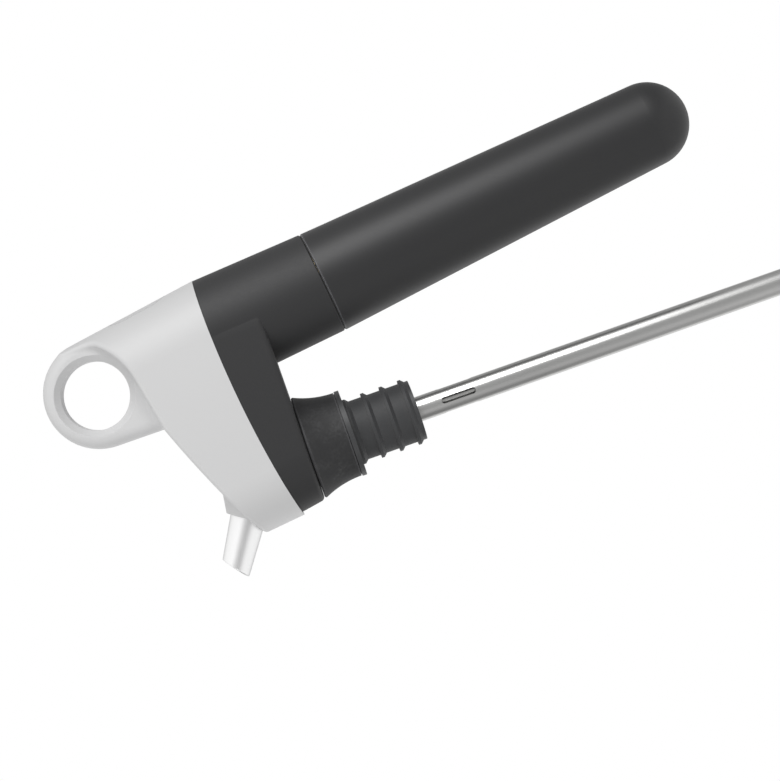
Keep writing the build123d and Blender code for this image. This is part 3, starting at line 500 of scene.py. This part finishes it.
@dataclass(frozen=True)
class Plastic:
    """Moulded plastic or rubber: grain, slow drift of tone, rubbed edges with a painted highlight, and a
    little dust with painted shade in corners.
    """

    tone: Tone
    roughness: float
    swing: float = 0.10
    grain_scale: float = 2600.0
    grain_mm: float = 0.012
    drift: float = 0.10
    drift_scale: float = 26.0
    edge_width: float = 0.0004
    edge_amount: float = 0.35
    edge_gain: float = 1.35
    dust_and_shade_amount: float = 0.12
    dust_and_shade_reach: float = 0.0015
    dust_and_shade_tone: Tone = (0.30, 0.29, 0.28)
    dust_rough: float = 0.4
    rubbing: Rubbing | None = None

    def make(self, name: str) -> bpy.types.Material:
        """Builds the finish's material.

        Args:
            name: the material's name.

        Returns:
            The new material.
        """
        made, graph, shader = material(name)
        grain = Grain().use(graph, Scale=self.grain_scale)
        base = Drift().use(graph, Colour=opaque(self.tone), Scale=self.drift_scale, Amount=self.drift)
        worn_and_lit = EdgeWearAndHighlight().use(graph, Width=self.edge_width, Amount=self.edge_amount)
        dust_and_shade = CornerShadeAndDust().use(graph, Reach=self.dust_and_shade_reach, Amount=self.dust_and_shade_amount)
        # Painted highlight: edges are brightened by edge_gain, partly as rubbed wear and partly standing
        # in for light catching the rims.
        colour = graph.mix(worn_and_lit["Mask"], base["Colour"], opaque(self.tone, self.edge_gain))
        # Painted shade and dust: corners are drawn towards a grey, which darkens pale plastics like shade
        # and lightens dark ones like dust.
        colour = graph.mix(dust_and_shade["Mask"], colour, opaque(self.dust_and_shade_tone))
        if self.rubbing:
            colour = self.rubbing.over(graph, colour, self.tone)
        span = Ramp(low=self.roughness - self.swing / 2, high=self.roughness + self.swing / 2)
        dusty = graph.math("MULTIPLY", dust_and_shade["Mask"], self.dust_rough)
        rough = graph.math("ADD", graph.ramp(grain["Mask"], span), dusty, clamp=True)
        normal = graph.relief(grain["Height"], self.grain_mm)
        graph.feed(shader, {"Base Color": colour, "Roughness": rough, "Normal": normal})
        return made


@dataclass(frozen=True)
class Metal:
    """Metal with the marks of how it was finished."""

    tone: Tone
    roughness: float
    lay: Lay = Lay.CAST
    turn: tuple[float, float, float] = (0.0, 0.0, 0.0)
    mark_mm: float = 0.002
    swing: float = 0.10
    smoothest: float = 0.03
    stain: float = 0.08
    stain_scale: float = 45.0
    grazing: float = 1.0
    edge_width: float = 0.0002
    edge_amount: float = 0.3
    edge_tone: Tone = (0.93, 0.93, 0.92)

    def make(self, name: str) -> bpy.types.Material:
        """Builds the finish's material.

        Args:
            name: the material's name.

        Returns:
            The new material.
        """
        made, graph, shader = material(name)
        marks = FinishMarks().use(graph, Turn=self.turn, Stretch=self.lay.value)
        base = Drift().use(graph, Colour=opaque(self.tone), Scale=self.stain_scale, Amount=self.stain)
        worn_and_lit = EdgeWearAndHighlight().use(graph, Width=self.edge_width, Amount=self.edge_amount)
        colour = graph.mix(worn_and_lit["Mask"], base["Colour"], opaque(self.edge_tone))
        smooth = max(self.smoothest, self.roughness - self.swing)
        rough = graph.ramp(marks["Mask"], Ramp(low=smooth, high=self.roughness + self.swing))
        normal = graph.relief(marks["Height"], self.mark_mm)
        graph.feed(shader, {"Metallic": 1.0, "Specular Tint": opaque((self.grazing,) * 3)})
        graph.feed(shader, {"Base Color": colour, "Roughness": rough, "Normal": normal})
        return made


HANDLE_LEAN = math.radians(6.65)
SPOUT_RISE = math.radians(32.6)

# edge_gain brightens each plastic's edges as a painted highlight: faint on the pale shells, a clear light
# rim on the dark shell and the soft grip.
FINISHES: dict[Slot, Plastic | Metal] = {
    Slot.LIGHT_SHELL: Plastic((0.66, 0.66, 0.662), 0.52, grain_mm=0.006, drift=0.03, edge_gain=1.12),
    Slot.DARK_SHELL: Plastic((0.021, 0.021, 0.022), 0.58, grain_mm=0.010, drift=0.18, edge_gain=2.6),
    Slot.SOFT_GRIP: Plastic(
        (0.020, 0.020, 0.021), 0.47, grain_scale=3400.0, grain_mm=0.010, drift=0.14, edge_gain=3.2
    ),
    Slot.BUTTON_PLASTIC: Plastic((0.63, 0.63, 0.632), 0.46, grain_mm=0.006, drift=0.03, edge_gain=1.12),
    Slot.FRAME_PLASTIC: Plastic((0.045, 0.046, 0.048), 0.48),
    Slot.SILICONE: Plastic((0.040, 0.041, 0.043), 0.62, grain_mm=0.006, dust_and_shade_amount=0.3),
    Slot.SEAL_RUBBER: Plastic((0.014, 0.014, 0.015), 0.55, grain_mm=0.006, dust_and_shade_amount=0.2),
    Slot.SPOUT_STEEL: Metal(
        (0.92, 0.92, 0.92), 0.38, Lay.ALONG, (0.0, math.pi / 2 - SPOUT_RISE, 0.0),
        mark_mm=0.001, swing=0.04, stain=0.03, grazing=0.45,
    ),
    Slot.STEM_STEEL: Metal((0.66, 0.66, 0.65), 0.30, Lay.ALONG, mark_mm=0.0003, swing=0.04, stain=0.05),
    Slot.CAPSULE_STEEL: Metal((0.60, 0.60, 0.60), 0.24, Lay.ALONG, (0.0, HANDLE_LEAN, 0.0)),
    Slot.HARD_STEEL: Metal((0.55, 0.55, 0.56), 0.30),
    Slot.SPRING_STEEL: Metal((0.50, 0.50, 0.51), 0.28),
    Slot.BRASS_FITTINGS: Metal((0.72, 0.55, 0.27), 0.28, Lay.ROUND, (0.0, HANDLE_LEAN, 0.0)),
}

# The cap and the cup get their own finish: a strong edge_gain paints a bright highlight on their rims and
# seams, and the cap also has pale flecks of handling.
HANDLED_AND_HIGHLIT: dict[str, Plastic] = {
    "stopper_cap": Plastic(
        (0.017, 0.017, 0.018), 0.62, grain_scale=1700.0, grain_mm=0.030, drift=0.30, edge_width=0.0008,
        edge_amount=1.0, edge_gain=6.0, rubbing=Rubbing(),
    ),
    "capsule_cup": replace(
        FINISHES[Slot.SOFT_GRIP], edge_width=0.0006, edge_amount=1.0, edge_gain=11.0
    ),
}


class Paintbox:
    """Makes each finish once and hands it out."""

    def __init__(self) -> None:
        """Starts with no finish made."""
        self.made: dict[str, bpy.types.Material] = {}

    def coat(self, piece: bpy.types.Object, slot: Slot) -> None:
        """Gives a piece the finish of its slot, or its own, with a stronger painted highlight on its
        edges and, on the cap, flecks of handling.

        Args:
            piece: a mesh object.
            slot: the record's slot that the piece belongs to.
        """
        own = HANDLED_AND_HIGHLIT.get(piece.name)
        name = f"{slot.value}_{piece.name}" if own else slot.value
        if name not in self.made:
            self.made[name] = (own or FINISHES[slot]).make(name)
        piece.data.materials.clear()
        piece.data.materials.append(self.made[name])


# ---- Meshes -----------------------------------------------------------------------------------------

Ring = Sequence[tuple[float, float, float]]


def put(name: str, data: bpy.types.ID) -> bpy.types.Object:
    """Puts a mesh, a camera or a lamp in the scene.

    Args:
        name: the object's name.
        data: what it shows.

    Returns:
        The new object, at the origin.
    """
    thing = bpy.data.objects.new(name, data)
    bpy.context.scene.collection.objects.link(thing)
    return thing


def circle(radius: float, height: float, sides: int, lobe: float = 0.0, lobes: int = 0) -> Ring:
    """Makes a ring of points about the frame's own Z.

    Args:
        radius: the ring's middle radius.
        height: where it lies on Z.
        sides: how many points it has.
        lobe: how far its lobes stand out and fall in.
        lobes: how many lobes it has.

    Returns:
        The ring's points.
    """
    points = []
    for at in range(sides):
        turn = 2 * math.pi * at / sides
        reach = radius + lobe * math.cos(lobes * turn)
        points.append((reach * math.cos(turn), reach * math.sin(turn), height))
    return points


def skin(name: str, rings: Sequence[Ring], place: Matrix, bored: bool = False) -> bpy.types.Object:
    """Makes a closed piece from rings of points.

    Args:
        name: the piece's name.
        rings: rings with as many points each, in millimetres.
        place: where the piece's own frame lies, in metres.
        bored: True where the last ring joins the first, so that a hole runs through the piece, and
            False where both are closed with a cap.

    Returns:
        The new object, with its points in the row frame.
    """
    mesh = bpy.data.meshes.new(name)
    work = bmesh.new()
    loops = [[work.verts.new(place @ (Vector(point) * MM)) for point in ring] for ring in rings]
    count = len(loops[0])
    if bored:
        loops.append(loops[0])
    for low, high in zip(loops, loops[1:]):
        for at in range(count):
            after = (at + 1) % count
            work.faces.new((low[at], low[after], high[after], high[at]))
    if not bored:
        work.faces.new(list(reversed(loops[0])))
        work.faces.new(loops[-1])
    bmesh.ops.recalc_face_normals(work, faces=work.faces)
    work.to_mesh(mesh)
    work.free()
    return put(name, mesh)


def round_off(piece: bpy.types.Object, degrees: float = 32.0) -> None:
    """Shades a piece smooth, apart from edges that are sharper than an angle."""
    piece.data.shade_smooth()
    piece.data.set_sharp_from_angle(angle=math.radians(degrees))


# ---- Sub-assemblies ---------------------------------------------------------------------------------


@dataclass
class SubAssembly:
    """Nodes that belong together, and the pieces built over them or beside them."""

    paints: Paintbox
    nodes: dict[Slot, tuple[str, ...]] = field(default_factory=dict)

    def build(self) -> list[bpy.types.Object]:
        """Builds the pieces that replace nodes or join them. Most sub-assemblies have none."""
        return []

    def dress(self) -> int:
        """Gives every node its finish.

        Returns:
            How many nodes were dressed.
        """
        count = 0
        for slot, names in self.nodes.items():
            for name in names:
                self.paints.coat(frame["nodes"][name], slot)
                count += 1
        return count


@dataclass
class Stopper(SubAssembly):
    """What stays in the bottle, and the flared cap that turns on it with a thin washer between them."""

    nodes: dict[Slot, tuple[str, ...]] = field(
        default_factory=lambda: {
            Slot.FRAME_PLASTIC: ("stopper_base",),
            Slot.SILICONE: ("neck_seal", "stem_wiper"),
            Slot.SEAL_RUBBER: ("turning_ring",),
            Slot.DARK_SHELL: ("stopper_cap",),
        }
    )
    flange_top_mm: float = 1.3
    washer_h_mm: float = 0.22
    washer_bore_r_mm: float = 9.1
    washer_r_mm: float = 11.7
    bedding_mm: float = 0.03
    sides: int = 96

    def build(self) -> list[bpy.types.Object]:
        """Builds the washer, which is bedded a little way into the flange.

        Returns:
            The washer.
        """
        low, high = self.flange_top_mm - self.bedding_mm, self.flange_top_mm + self.washer_h_mm
        corners = (
            (self.washer_bore_r_mm, low), (self.washer_r_mm, low),
            (self.washer_r_mm, high), (self.washer_bore_r_mm, high),
        )
        rings = [circle(radius, height, self.sides) for radius, height in corners]
        piece = skin("slip_washer", rings, Matrix(), bored=True)
        round_off(piece)
        self.paints.coat(piece, Slot.SEAL_RUBBER)
        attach(piece, Body.STOPPER.value)
        return [piece]


@dataclass
class Stem(SubAssembly):
    """The long needle with the gas tube inside it."""

    nodes: dict[Slot, tuple[str, ...]] = field(
        default_factory=lambda: {
            Slot.STEM_STEEL: ("stem", "gas_tube", "stem_tip"),
            Slot.SEAL_RUBBER: ("stem_seal",),
        }
    )


@dataclass
class Shells(SubAssembly):
    """Cover, base housing and the screws that hold them to the valve block.

    Attributes:
        recess_rings: rings of a screw's recess, from its floor out to its rim, each as shares of the
            recess's radius, of its depth and of its lobes.
        bevel_share: how far in the middle of the head's bevel lies, as a share of the bevel.
        ring_r_mm, ring_x_mm, ring_z_mm: the hanging ring's radius and centre.
        back_lean: how far the cover's back leans, which is where the ring's arc starts.
        eased_to: how far round the ring the cover is laid onto its circle.
    """

    nodes: dict[Slot, tuple[str, ...]] = field(
        default_factory=lambda: {
            Slot.DARK_SHELL: ("base_housing",),
            Slot.SILICONE: ("seat_pad",),
        }
    )
    screw_x_mm: float = 5.5
    screw_y_mm: float = 7.5
    head_r_mm: float = 2.0
    head_h_mm: float = 1.2
    shank_r_mm: float = 1.2
    edge_mm: float = 0.25
    bevel_share: float = 0.3
    recess_r_mm: float = 1.0
    recess_h_mm: float = 0.75
    lobe_mm: float = 0.14
    lobes: int = 6
    recess_rings: tuple[tuple[float, float, float], ...] = (
        (0.55, 1.0, 0.4),
        (0.9, 0.8, 1.0),
        (1.0, 0.16, 1.0),
        (1.12, 0.0, 0.6),
    )
    sides: int = 48
    ring_r_mm: float = 15.3
    ring_x_mm: float = 33.262
    ring_z_mm: float = 62.2
    back_lean: float = math.radians(8.95)
    eased_to: float = math.radians(75.0)

    def build(self) -> list[bpy.types.Object]:
        """Builds the cover with its eased back, and the housing screws."""
        return [self._eased_cover(), *self._screws()]

    def _eased_cover(self) -> bpy.types.Object:
        """Copies the cover and lays the top end of its back onto the hanging ring's round outline.

        Returns:
            The cover, in place of its node.
        """
        mesh = frame["nodes"]["front_cover"].data.copy()
        normals = [corner.vector.copy() for corner in mesh.corner_normals]
        eased: dict[int, Vector] = {}
        for vertex in mesh.vertices:
            out = Vector((vertex.co.x - self.ring_x_mm * MM, 0.0, vertex.co.z - self.ring_z_mm * MM))
            past = out.length - self.ring_r_mm * MM
            if past > 0.0 and self.back_lean < math.atan2(out.z, out.x) < self.eased_to:
                eased[vertex.index] = out.normalized()
                vertex.co -= eased[vertex.index] * past
        for loop in mesh.loops:
            normals[loop.index] = eased.get(loop.vertex_index, normals[loop.index])
        mesh.normals_split_custom_set(normals)
        cover = put("front_cover_eased", mesh)
        self.paints.coat(cover, Slot.LIGHT_SHELL)
        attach(cover, Body.HEAD.value)
        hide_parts("front_cover")
        return cover

    def _screws(self) -> list[bpy.types.Object]:
        """Builds the housing screws with their six-lobed recesses.

        Returns:
            The screws, in place of their node.
        """
        low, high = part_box("housing_screws")
        rings = self._screw_rings((high.z - low.z) / MM)
        places = product((-self.screw_x_mm, self.screw_x_mm), (-self.screw_y_mm, self.screw_y_mm))
        made = []
        for number, (x, y) in enumerate(places, start=1):
            place = Matrix.Translation(Vector((x * MM, y * MM, low.z)))
            screw = skin(f"housing_screw_{number}", rings, place)
            round_off(screw)
            self.paints.coat(screw, Slot.HARD_STEEL)
            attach(screw, Body.HEAD.value)
            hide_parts("housing_screws")
            made.append(screw)
        return made

    def _screw_rings(self, length: float) -> list[Ring]:
        """Works out one screw, from the bottom of its recess round the head and up the shank.

        Args:
            length: the screw's length from its head to its tip, in millimetres.

        Returns:
            The screw's rings.
        """
        bevel = self.edge_mm * self.bevel_share
        corners = (
            (self.head_r_mm - self.edge_mm, 0.0),
            (self.head_r_mm - bevel, bevel),
            (self.head_r_mm, self.edge_mm),
            (self.head_r_mm, self.head_h_mm),
            (self.shank_r_mm, self.head_h_mm),
            (self.shank_r_mm, length - self.edge_mm),
            (self.shank_r_mm - self.edge_mm, length),
        )
        rings = []
        for out, deep, lobe in self.recess_rings:
            radius, height = self.recess_r_mm * out, self.recess_h_mm * deep
            rings.append(circle(radius, height, self.sides, self.lobe_mm * lobe, self.lobes))
        rings += [circle(radius, height, self.sides) for radius, height in corners]
        return rings


@dataclass
class Spout(SubAssembly):
    """The steel pouring tube and its seal."""

    nodes: dict[Slot, tuple[str, ...]] = field(
        default_factory=lambda: {Slot.SPOUT_STEEL: ("spout",), Slot.SEAL_RUBBER: ("spout_seal",)}
    )


@dataclass
class ValveWorks(SubAssembly):
    """Valve block, pins, lever and button."""

    nodes: dict[Slot, tuple[str, ...]] = field(
        default_factory=lambda: {
            Slot.FRAME_PLASTIC: ("valve_block", "valve_lever", "button_guide"),
            Slot.HARD_STEEL: ("gas_valve_pin", "wine_valve_pin", "lever_pin", "seal_washers"),
            Slot.SPRING_STEEL: ("valve_springs", "button_spring"),
            Slot.SEAL_RUBBER: ("pin_seals", "gas_hose"),
            Slot.BUTTON_PLASTIC: ("pour_button",),
        }
    )


@dataclass
class Regulator(SubAssembly):
    """Pressure regulator in the collar, whose threaded nose carries the cup.

    Attributes:
        flank_slope: how fast the thread's groove gets to its full depth, per pitch.
        smooth_deg: the angle under which edges are shaded smooth.
    """

    nodes: dict[Slot, tuple[str, ...]] = field(
        default_factory=lambda: {
            Slot.BRASS_FITTINGS: ("regulator_lid", "regulator_piston"),
            Slot.SEAL_RUBBER: ("piston_seal", "capsule_gasket"),
            Slot.SPRING_STEEL: ("regulator_spring",),
            Slot.HARD_STEEL: ("piercing_pin",),
        }
    )
    thread_pitch_mm: float = 1.5
    thread_depth_mm: float = 0.75
    thread_length_mm: float = 12.0
    flank_slope: float = 3.2
    nose_r_mm: float = 11.9
    flange_r_mm: float = 12.75
    flange_h_mm: float = 8.0
    chamber_r_mm: float = 10.4
    chamber_top_mm: float = 18.0
    chamber_bore_r_mm: float = 8.0
    chamber_floor_mm: float = 9.0
    passage_r_mm: float = 0.8
    pin_r_mm: float = 1.5
    pin_seat_mm: float = 2.0
    neck_bore_r_mm: float = 4.3
    neck_depth_mm: float = 8.4
    mouth_chamfer_mm: float = 0.4
    sides: int = 72
    steps_per_turn: int = 12
    smooth_deg: float = 40.0

    def build(self) -> list[bpy.types.Object]:
        """Builds the regulator's body with a real thread on its nose.

        Returns:
            The body, in place of its node.
        """
        piece = skin("regulator_body_threaded", self._rings(), handle_frame(), bored=True)
        round_off(piece, self.smooth_deg)
        self.paints.coat(piece, Slot.BRASS_FITTINGS)
        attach(piece, Body.HEAD.value)
        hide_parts("regulator_body")
        return [piece]

    def _rings(self) -> list[Ring]:
        """Works out the body, from the piston's chamber over the outside and up into the passage.

        Returns:
            The body's rings.
        """
        above = (
            (self.passage_r_mm, self.chamber_floor_mm),
            (self.chamber_bore_r_mm, self.chamber_floor_mm),
            (self.chamber_bore_r_mm, self.chamber_top_mm),
            (self.chamber_r_mm, self.chamber_top_mm),
            (self.chamber_r_mm, self.flange_h_mm),
            (self.flange_r_mm, self.flange_h_mm),
            (self.flange_r_mm, 0.0),
        )
        below = (
            (self.neck_bore_r_mm + self.mouth_chamfer_mm, -self.thread_length_mm),
            (self.neck_bore_r_mm, self.mouth_chamfer_mm - self.thread_length_mm),
            (self.neck_bore_r_mm, -self.neck_depth_mm),
            (self.pin_r_mm, -self.neck_depth_mm),
            (self.pin_r_mm, -self.pin_seat_mm),
            (self.passage_r_mm, -self.pin_seat_mm),
        )
        count = round(self.thread_length_mm / self.thread_pitch_mm) * self.steps_per_turn
        rings = [circle(radius, height, self.sides) for radius, height in above]
        rings += [self._thread_ring(self.thread_length_mm * step / count) for step in range(count + 1)]
        rings += [circle(radius, height, self.sides) for radius, height in below]
        return rings

    def _thread_ring(self, depth: float) -> Ring:
        """Works out a ring across the thread, which fades in and out over one pitch.

        Args:
            depth: how far the ring lies below the seam, in millimetres.

        Returns:
            The ring's points.
        """
        points = []
        turned = depth / self.thread_pitch_mm
        fade = min(1.0, turned, (self.thread_length_mm - depth) / self.thread_pitch_mm)
        for at in range(self.sides):
            share = at / self.sides
            from_crest = 0.5 - abs((turned + share) % 1.0 - 0.5)
            groove = min(1.0, self.flank_slope * from_crest) * self.thread_depth_mm * fade
            reach = self.nose_r_mm - groove
            turn = 2 * math.pi * share
            points.append((reach * math.cos(turn), reach * math.sin(turn), -depth))
        return points


@dataclass
class Handle(SubAssembly):
    """Cup, capsule, thread insert and pad."""

    nodes: dict[Slot, tuple[str, ...]] = field(
        default_factory=lambda: {
            Slot.SOFT_GRIP: ("capsule_cup",),
            Slot.BRASS_FITTINGS: ("cup_thread_ring",),
            Slot.SEAL_RUBBER: ("cup_pad",),
            Slot.CAPSULE_STEEL: ("gas_capsule",),
        }
    )


def handle_frame() -> Matrix:
    """Finds the handle's axis from the joint that the cup turns on.

    Returns:
        A frame at the seam's centre, +Z up the axis and +Y across the dispenser.
    """
    turn = next(joint for joint in frame["joints"] if joint["name"] == "cup_turn")
    up = -Vector(turn["axis"])
    across = Vector((0.0, 1.0, 0.0))
    out = across.cross(up)
    axes = Matrix((out, across, up)).transposed()
    return Matrix.Translation(Vector(turn["pos_m"])) @ axes.to_4x4()


# ---- Studio -----------------------------------------------------------------------------------------


@dataclass(frozen=True)
class View:
    """Where the camera stands, as directions in the row frame."""

    look_at: Vector
    right: Vector
    up: Vector
    back: Vector
    distance: float

    def point(self, right: float, up: float, back: float) -> Vector:
        """Point that far to the right, up and back of what the camera looks at."""
        return self.look_at + self.right * right + self.up * up + self.back * back


@dataclass(frozen=True)
class Softbox:
    """A square lamp that faces what the camera looks at."""

    name: str
    right: float
    up: float
    back: float
    side: float
    watts: float


@dataclass
class Studio:
    """Camera, lamps, white surround and floor.

    Attributes:
        behind_away, behind_down: which way the white behind the object lies: mostly straight away from
            the camera, and a little down.
        behind, beside, below, flag: what the surround shows in gloss, as a ray turns towards each.
        overhead, backlight: how strong the surround is as light, as a ray turns up and turns away.
        floor_solid, floor_gone: where the floor starts to fade and where it is gone, as shares of its
            radius.
    """

    roll_deg: float = 19.333
    yaw_deg: float = -2.1
    look_x_mm: float = 7.511
    look_z_mm: float = -13.644
    distance: float = 0.65
    clip_near: float = 0.01
    pixels_per_mm: float = 3.6032
    picture_px: float = 780.0
    sensor_mm: float = 36.0
    behind_away: float = 0.95
    behind_down: float = 0.3
    behind: Ramp = Ramp(0.45, 0.9, 0.36, 1.0, Step.EASED)
    beside: Ramp = Ramp(0.3, 0.7, 0.36, 1.0, Step.EASED)
    below: Ramp = Ramp(0.7, 0.97, 1.0, 0.35, Step.EASED)
    flag: Ramp = Ramp(0.88, 0.985, 1.0, 0.45, Step.EASED)
    overhead: Ramp = Ramp(-0.8, 0.8, 0.74, 0.10, Step.EASED)
    backlight: Ramp = Ramp(0.1, 0.9, 0.0, 0.42, Step.EASED)
    floor_r: float = 0.16
    floor_solid: float = 0.45
    floor_gone: float = 0.98
    floor_sides: int = 96
    floor_tone: Tone = (0.93, 0.93, 0.93)
    floor_drift: float = 0.02
    floor_drift_scale: float = 6.0
    floor_roughness: float = 0.7
    boxes: tuple[Softbox, ...] = (
        Softbox("overhead_box", -0.26, 0.50, 0.46, 0.46, 3.7),
        Softbox("front_box", -0.35, 0.05, 0.85, 0.60, 0.4),
        Softbox("low_box", -0.10, -0.55, 0.46, 0.42, 0.7),
    )

    def view(self) -> View:
        """Works the camera's directions out of its roll and yaw.

        Returns:
            Where the camera stands.
        """
        roll = math.radians(self.roll_deg)
        yaw = math.radians(self.yaw_deg)
        right = Vector((-math.sin(roll), 0.0, -math.cos(roll)))
        up = Vector((math.cos(roll), 0.0, -math.sin(roll)))
        back = Vector((0.0, -1.0, 0.0))
        turned_back = back * math.cos(yaw) + right * math.sin(yaw)
        turned_right = right * math.cos(yaw) - back * math.sin(yaw)
        look_at = Vector((self.look_x_mm * MM, 0.0, self.look_z_mm * MM))
        return View(look_at, turned_right, up, turned_back, self.distance)

    def build(self) -> None:
        """Sets up the camera, lamps, surround and floor."""
        view = self.view()
        self._camera(view)
        for box in self.boxes:
            self._lamp(view, box)
        self._surround(view)
        self._floor()
        bpy.context.scene.view_settings.view_transform = "Standard"

    def _camera(self, view: View) -> None:
        """Makes the camera, so that a millimetre at the object is as many pixels as stated.

        Args:
            view: where the camera stands.
        """
        data = bpy.data.cameras.new("camera")
        data.sensor_width = self.sensor_mm
        data.lens = self.sensor_mm * view.distance / MM * self.pixels_per_mm / self.picture_px
        data.clip_start = self.clip_near
        camera = put("camera", data)
        axes = Matrix((view.right, view.up, view.back)).transposed()
        camera.matrix_world = Matrix.Translation(view.point(0.0, 0.0, view.distance)) @ axes.to_4x4()
        bpy.context.scene.camera = camera

    def _lamp(self, view: View, box: Softbox) -> None:
        """Makes one softbox.

        Args:
            view: where the camera stands.
            box: the softbox's size, power and place from the view.
        """
        data = bpy.data.lights.new(box.name, "AREA")
        data.shape = "SQUARE"
        data.size = box.side
        data.energy = box.watts
        lamp = put(box.name, data)
        lamp.location = view.point(box.right, box.up, box.back)
        lamp.rotation_euler = (lamp.location - view.look_at).to_track_quat("Z", "Y").to_euler()

    def _surround(self, view: View) -> None:
        """White surround: full white to the camera and through glass, softer as light.

        In gloss it is the same white behind the object and at both sides, round a grey flag straight
        behind, with a dimmer room in front and above, and dimmest straight below. As light it is weaker
        from above, where the lamps are, and stronger from behind.

        Args:
            view: where the camera stands.
        """
        world = bpy.data.worlds.new("surround")
        world.use_nodes = True
        graph = Graph(world.node_tree)
        path = graph.add("ShaderNodeLightPath").outputs
        look = graph.add("ShaderNodeTexCoord").outputs["Generated"]
        away = graph.dot(look, -view.back)
        aim = (-view.back * self.behind_away - view.up * self.behind_down).normalized()
        behind = graph.ramp(graph.dot(look, aim), self.behind)
        beside = graph.ramp(graph.math("ABSOLUTE", graph.dot(look, view.right)), self.beside)
        below = graph.ramp(graph.dot(look, -view.up), self.below)
        gloss = graph.math("MULTIPLY", graph.math("MAXIMUM", behind, beside), below)
        gloss = graph.math("MULTIPLY", gloss, graph.ramp(away, self.flag))
        gloss = graph.math("MULTIPLY", path["Is Glossy Ray"], gloss)
        overhead = graph.ramp(graph.dot(look, view.up), self.overhead)
        light = graph.math("ADD", overhead, graph.ramp(away, self.backlight))
        light = graph.math("MULTIPLY", path["Is Diffuse Ray"], light)
        seen = graph.math("MAXIMUM", path["Is Camera Ray"], path["Is Transmission Ray"])
        level = graph.math("MAXIMUM", graph.math("MAXIMUM", seen, gloss), light)
        sky = graph.add("ShaderNodeBackground", {"Color": (1.0, 1.0, 1.0, 1.0), "Strength": level})
        graph.add("ShaderNodeOutputWorld", {"Surface": sky.outputs[0]})
        bpy.context.scene.world = world

    def _floor(self) -> None:
        """Pale round floor under the stem's tip, which fades to its edge and doesn't show from below."""
        mesh = bpy.data.meshes.new("floor")
        work = bmesh.new()
        bmesh.ops.create_circle(work, cap_ends=True, radius=self.floor_r, segments=self.floor_sides)
        work.to_mesh(mesh)
        work.free()
        floor = put("floor", mesh)
        floor.location = (0.0, 0.0, CAD_BOX[0][2])
        made, graph, shader = material("pale_floor")
        tone = Drift().use(
            graph, Colour=opaque(self.floor_tone), Scale=self.floor_drift_scale, Amount=self.floor_drift
        )
        away = graph.add("ShaderNodeVectorMath", {0: graph.place()}, operation="LENGTH").outputs["Value"]
        solid, gone = self.floor_r * self.floor_solid, self.floor_r * self.floor_gone
        fade = graph.ramp(away, Ramp(solid, gone, 1.0, 0.0, Step.EASED))
        above = graph.math("SUBTRACT", 1.0, graph.add("ShaderNodeNewGeometry").outputs["Backfacing"])
        alpha = graph.math("MULTIPLY", fade, above)
        graph.feed(shader, {"Base Color": tone["Colour"], "Alpha": alpha})
        graph.feed(shader, {"Roughness": self.floor_roughness})
        mesh.materials.append(made)


def main() -> None:
    """Builds and dresses every sub-assembly, then lights it."""
    logging.basicConfig(level=logging.INFO, format="%(name)s: %(message)s")
    paints = Paintbox()
    assemblies: Iterable[SubAssembly] = (
        Stopper(paints),
        Stem(paints),
        Shells(paints),
        Spout(paints),
        ValveWorks(paints),
        Regulator(paints),
        Handle(paints),
    )
    for assembly in assemblies:
        made = assembly.build()
        dressed = assembly.dress()
        for piece in made:
            log.info("built %s, %d faces", piece.name, len(piece.data.polygons))
        log.info("%s: %d nodes dressed, %d pieces built", type(assembly).__name__, dressed, len(made))
    Studio().build()


if __name__ == "__main__":
    main()
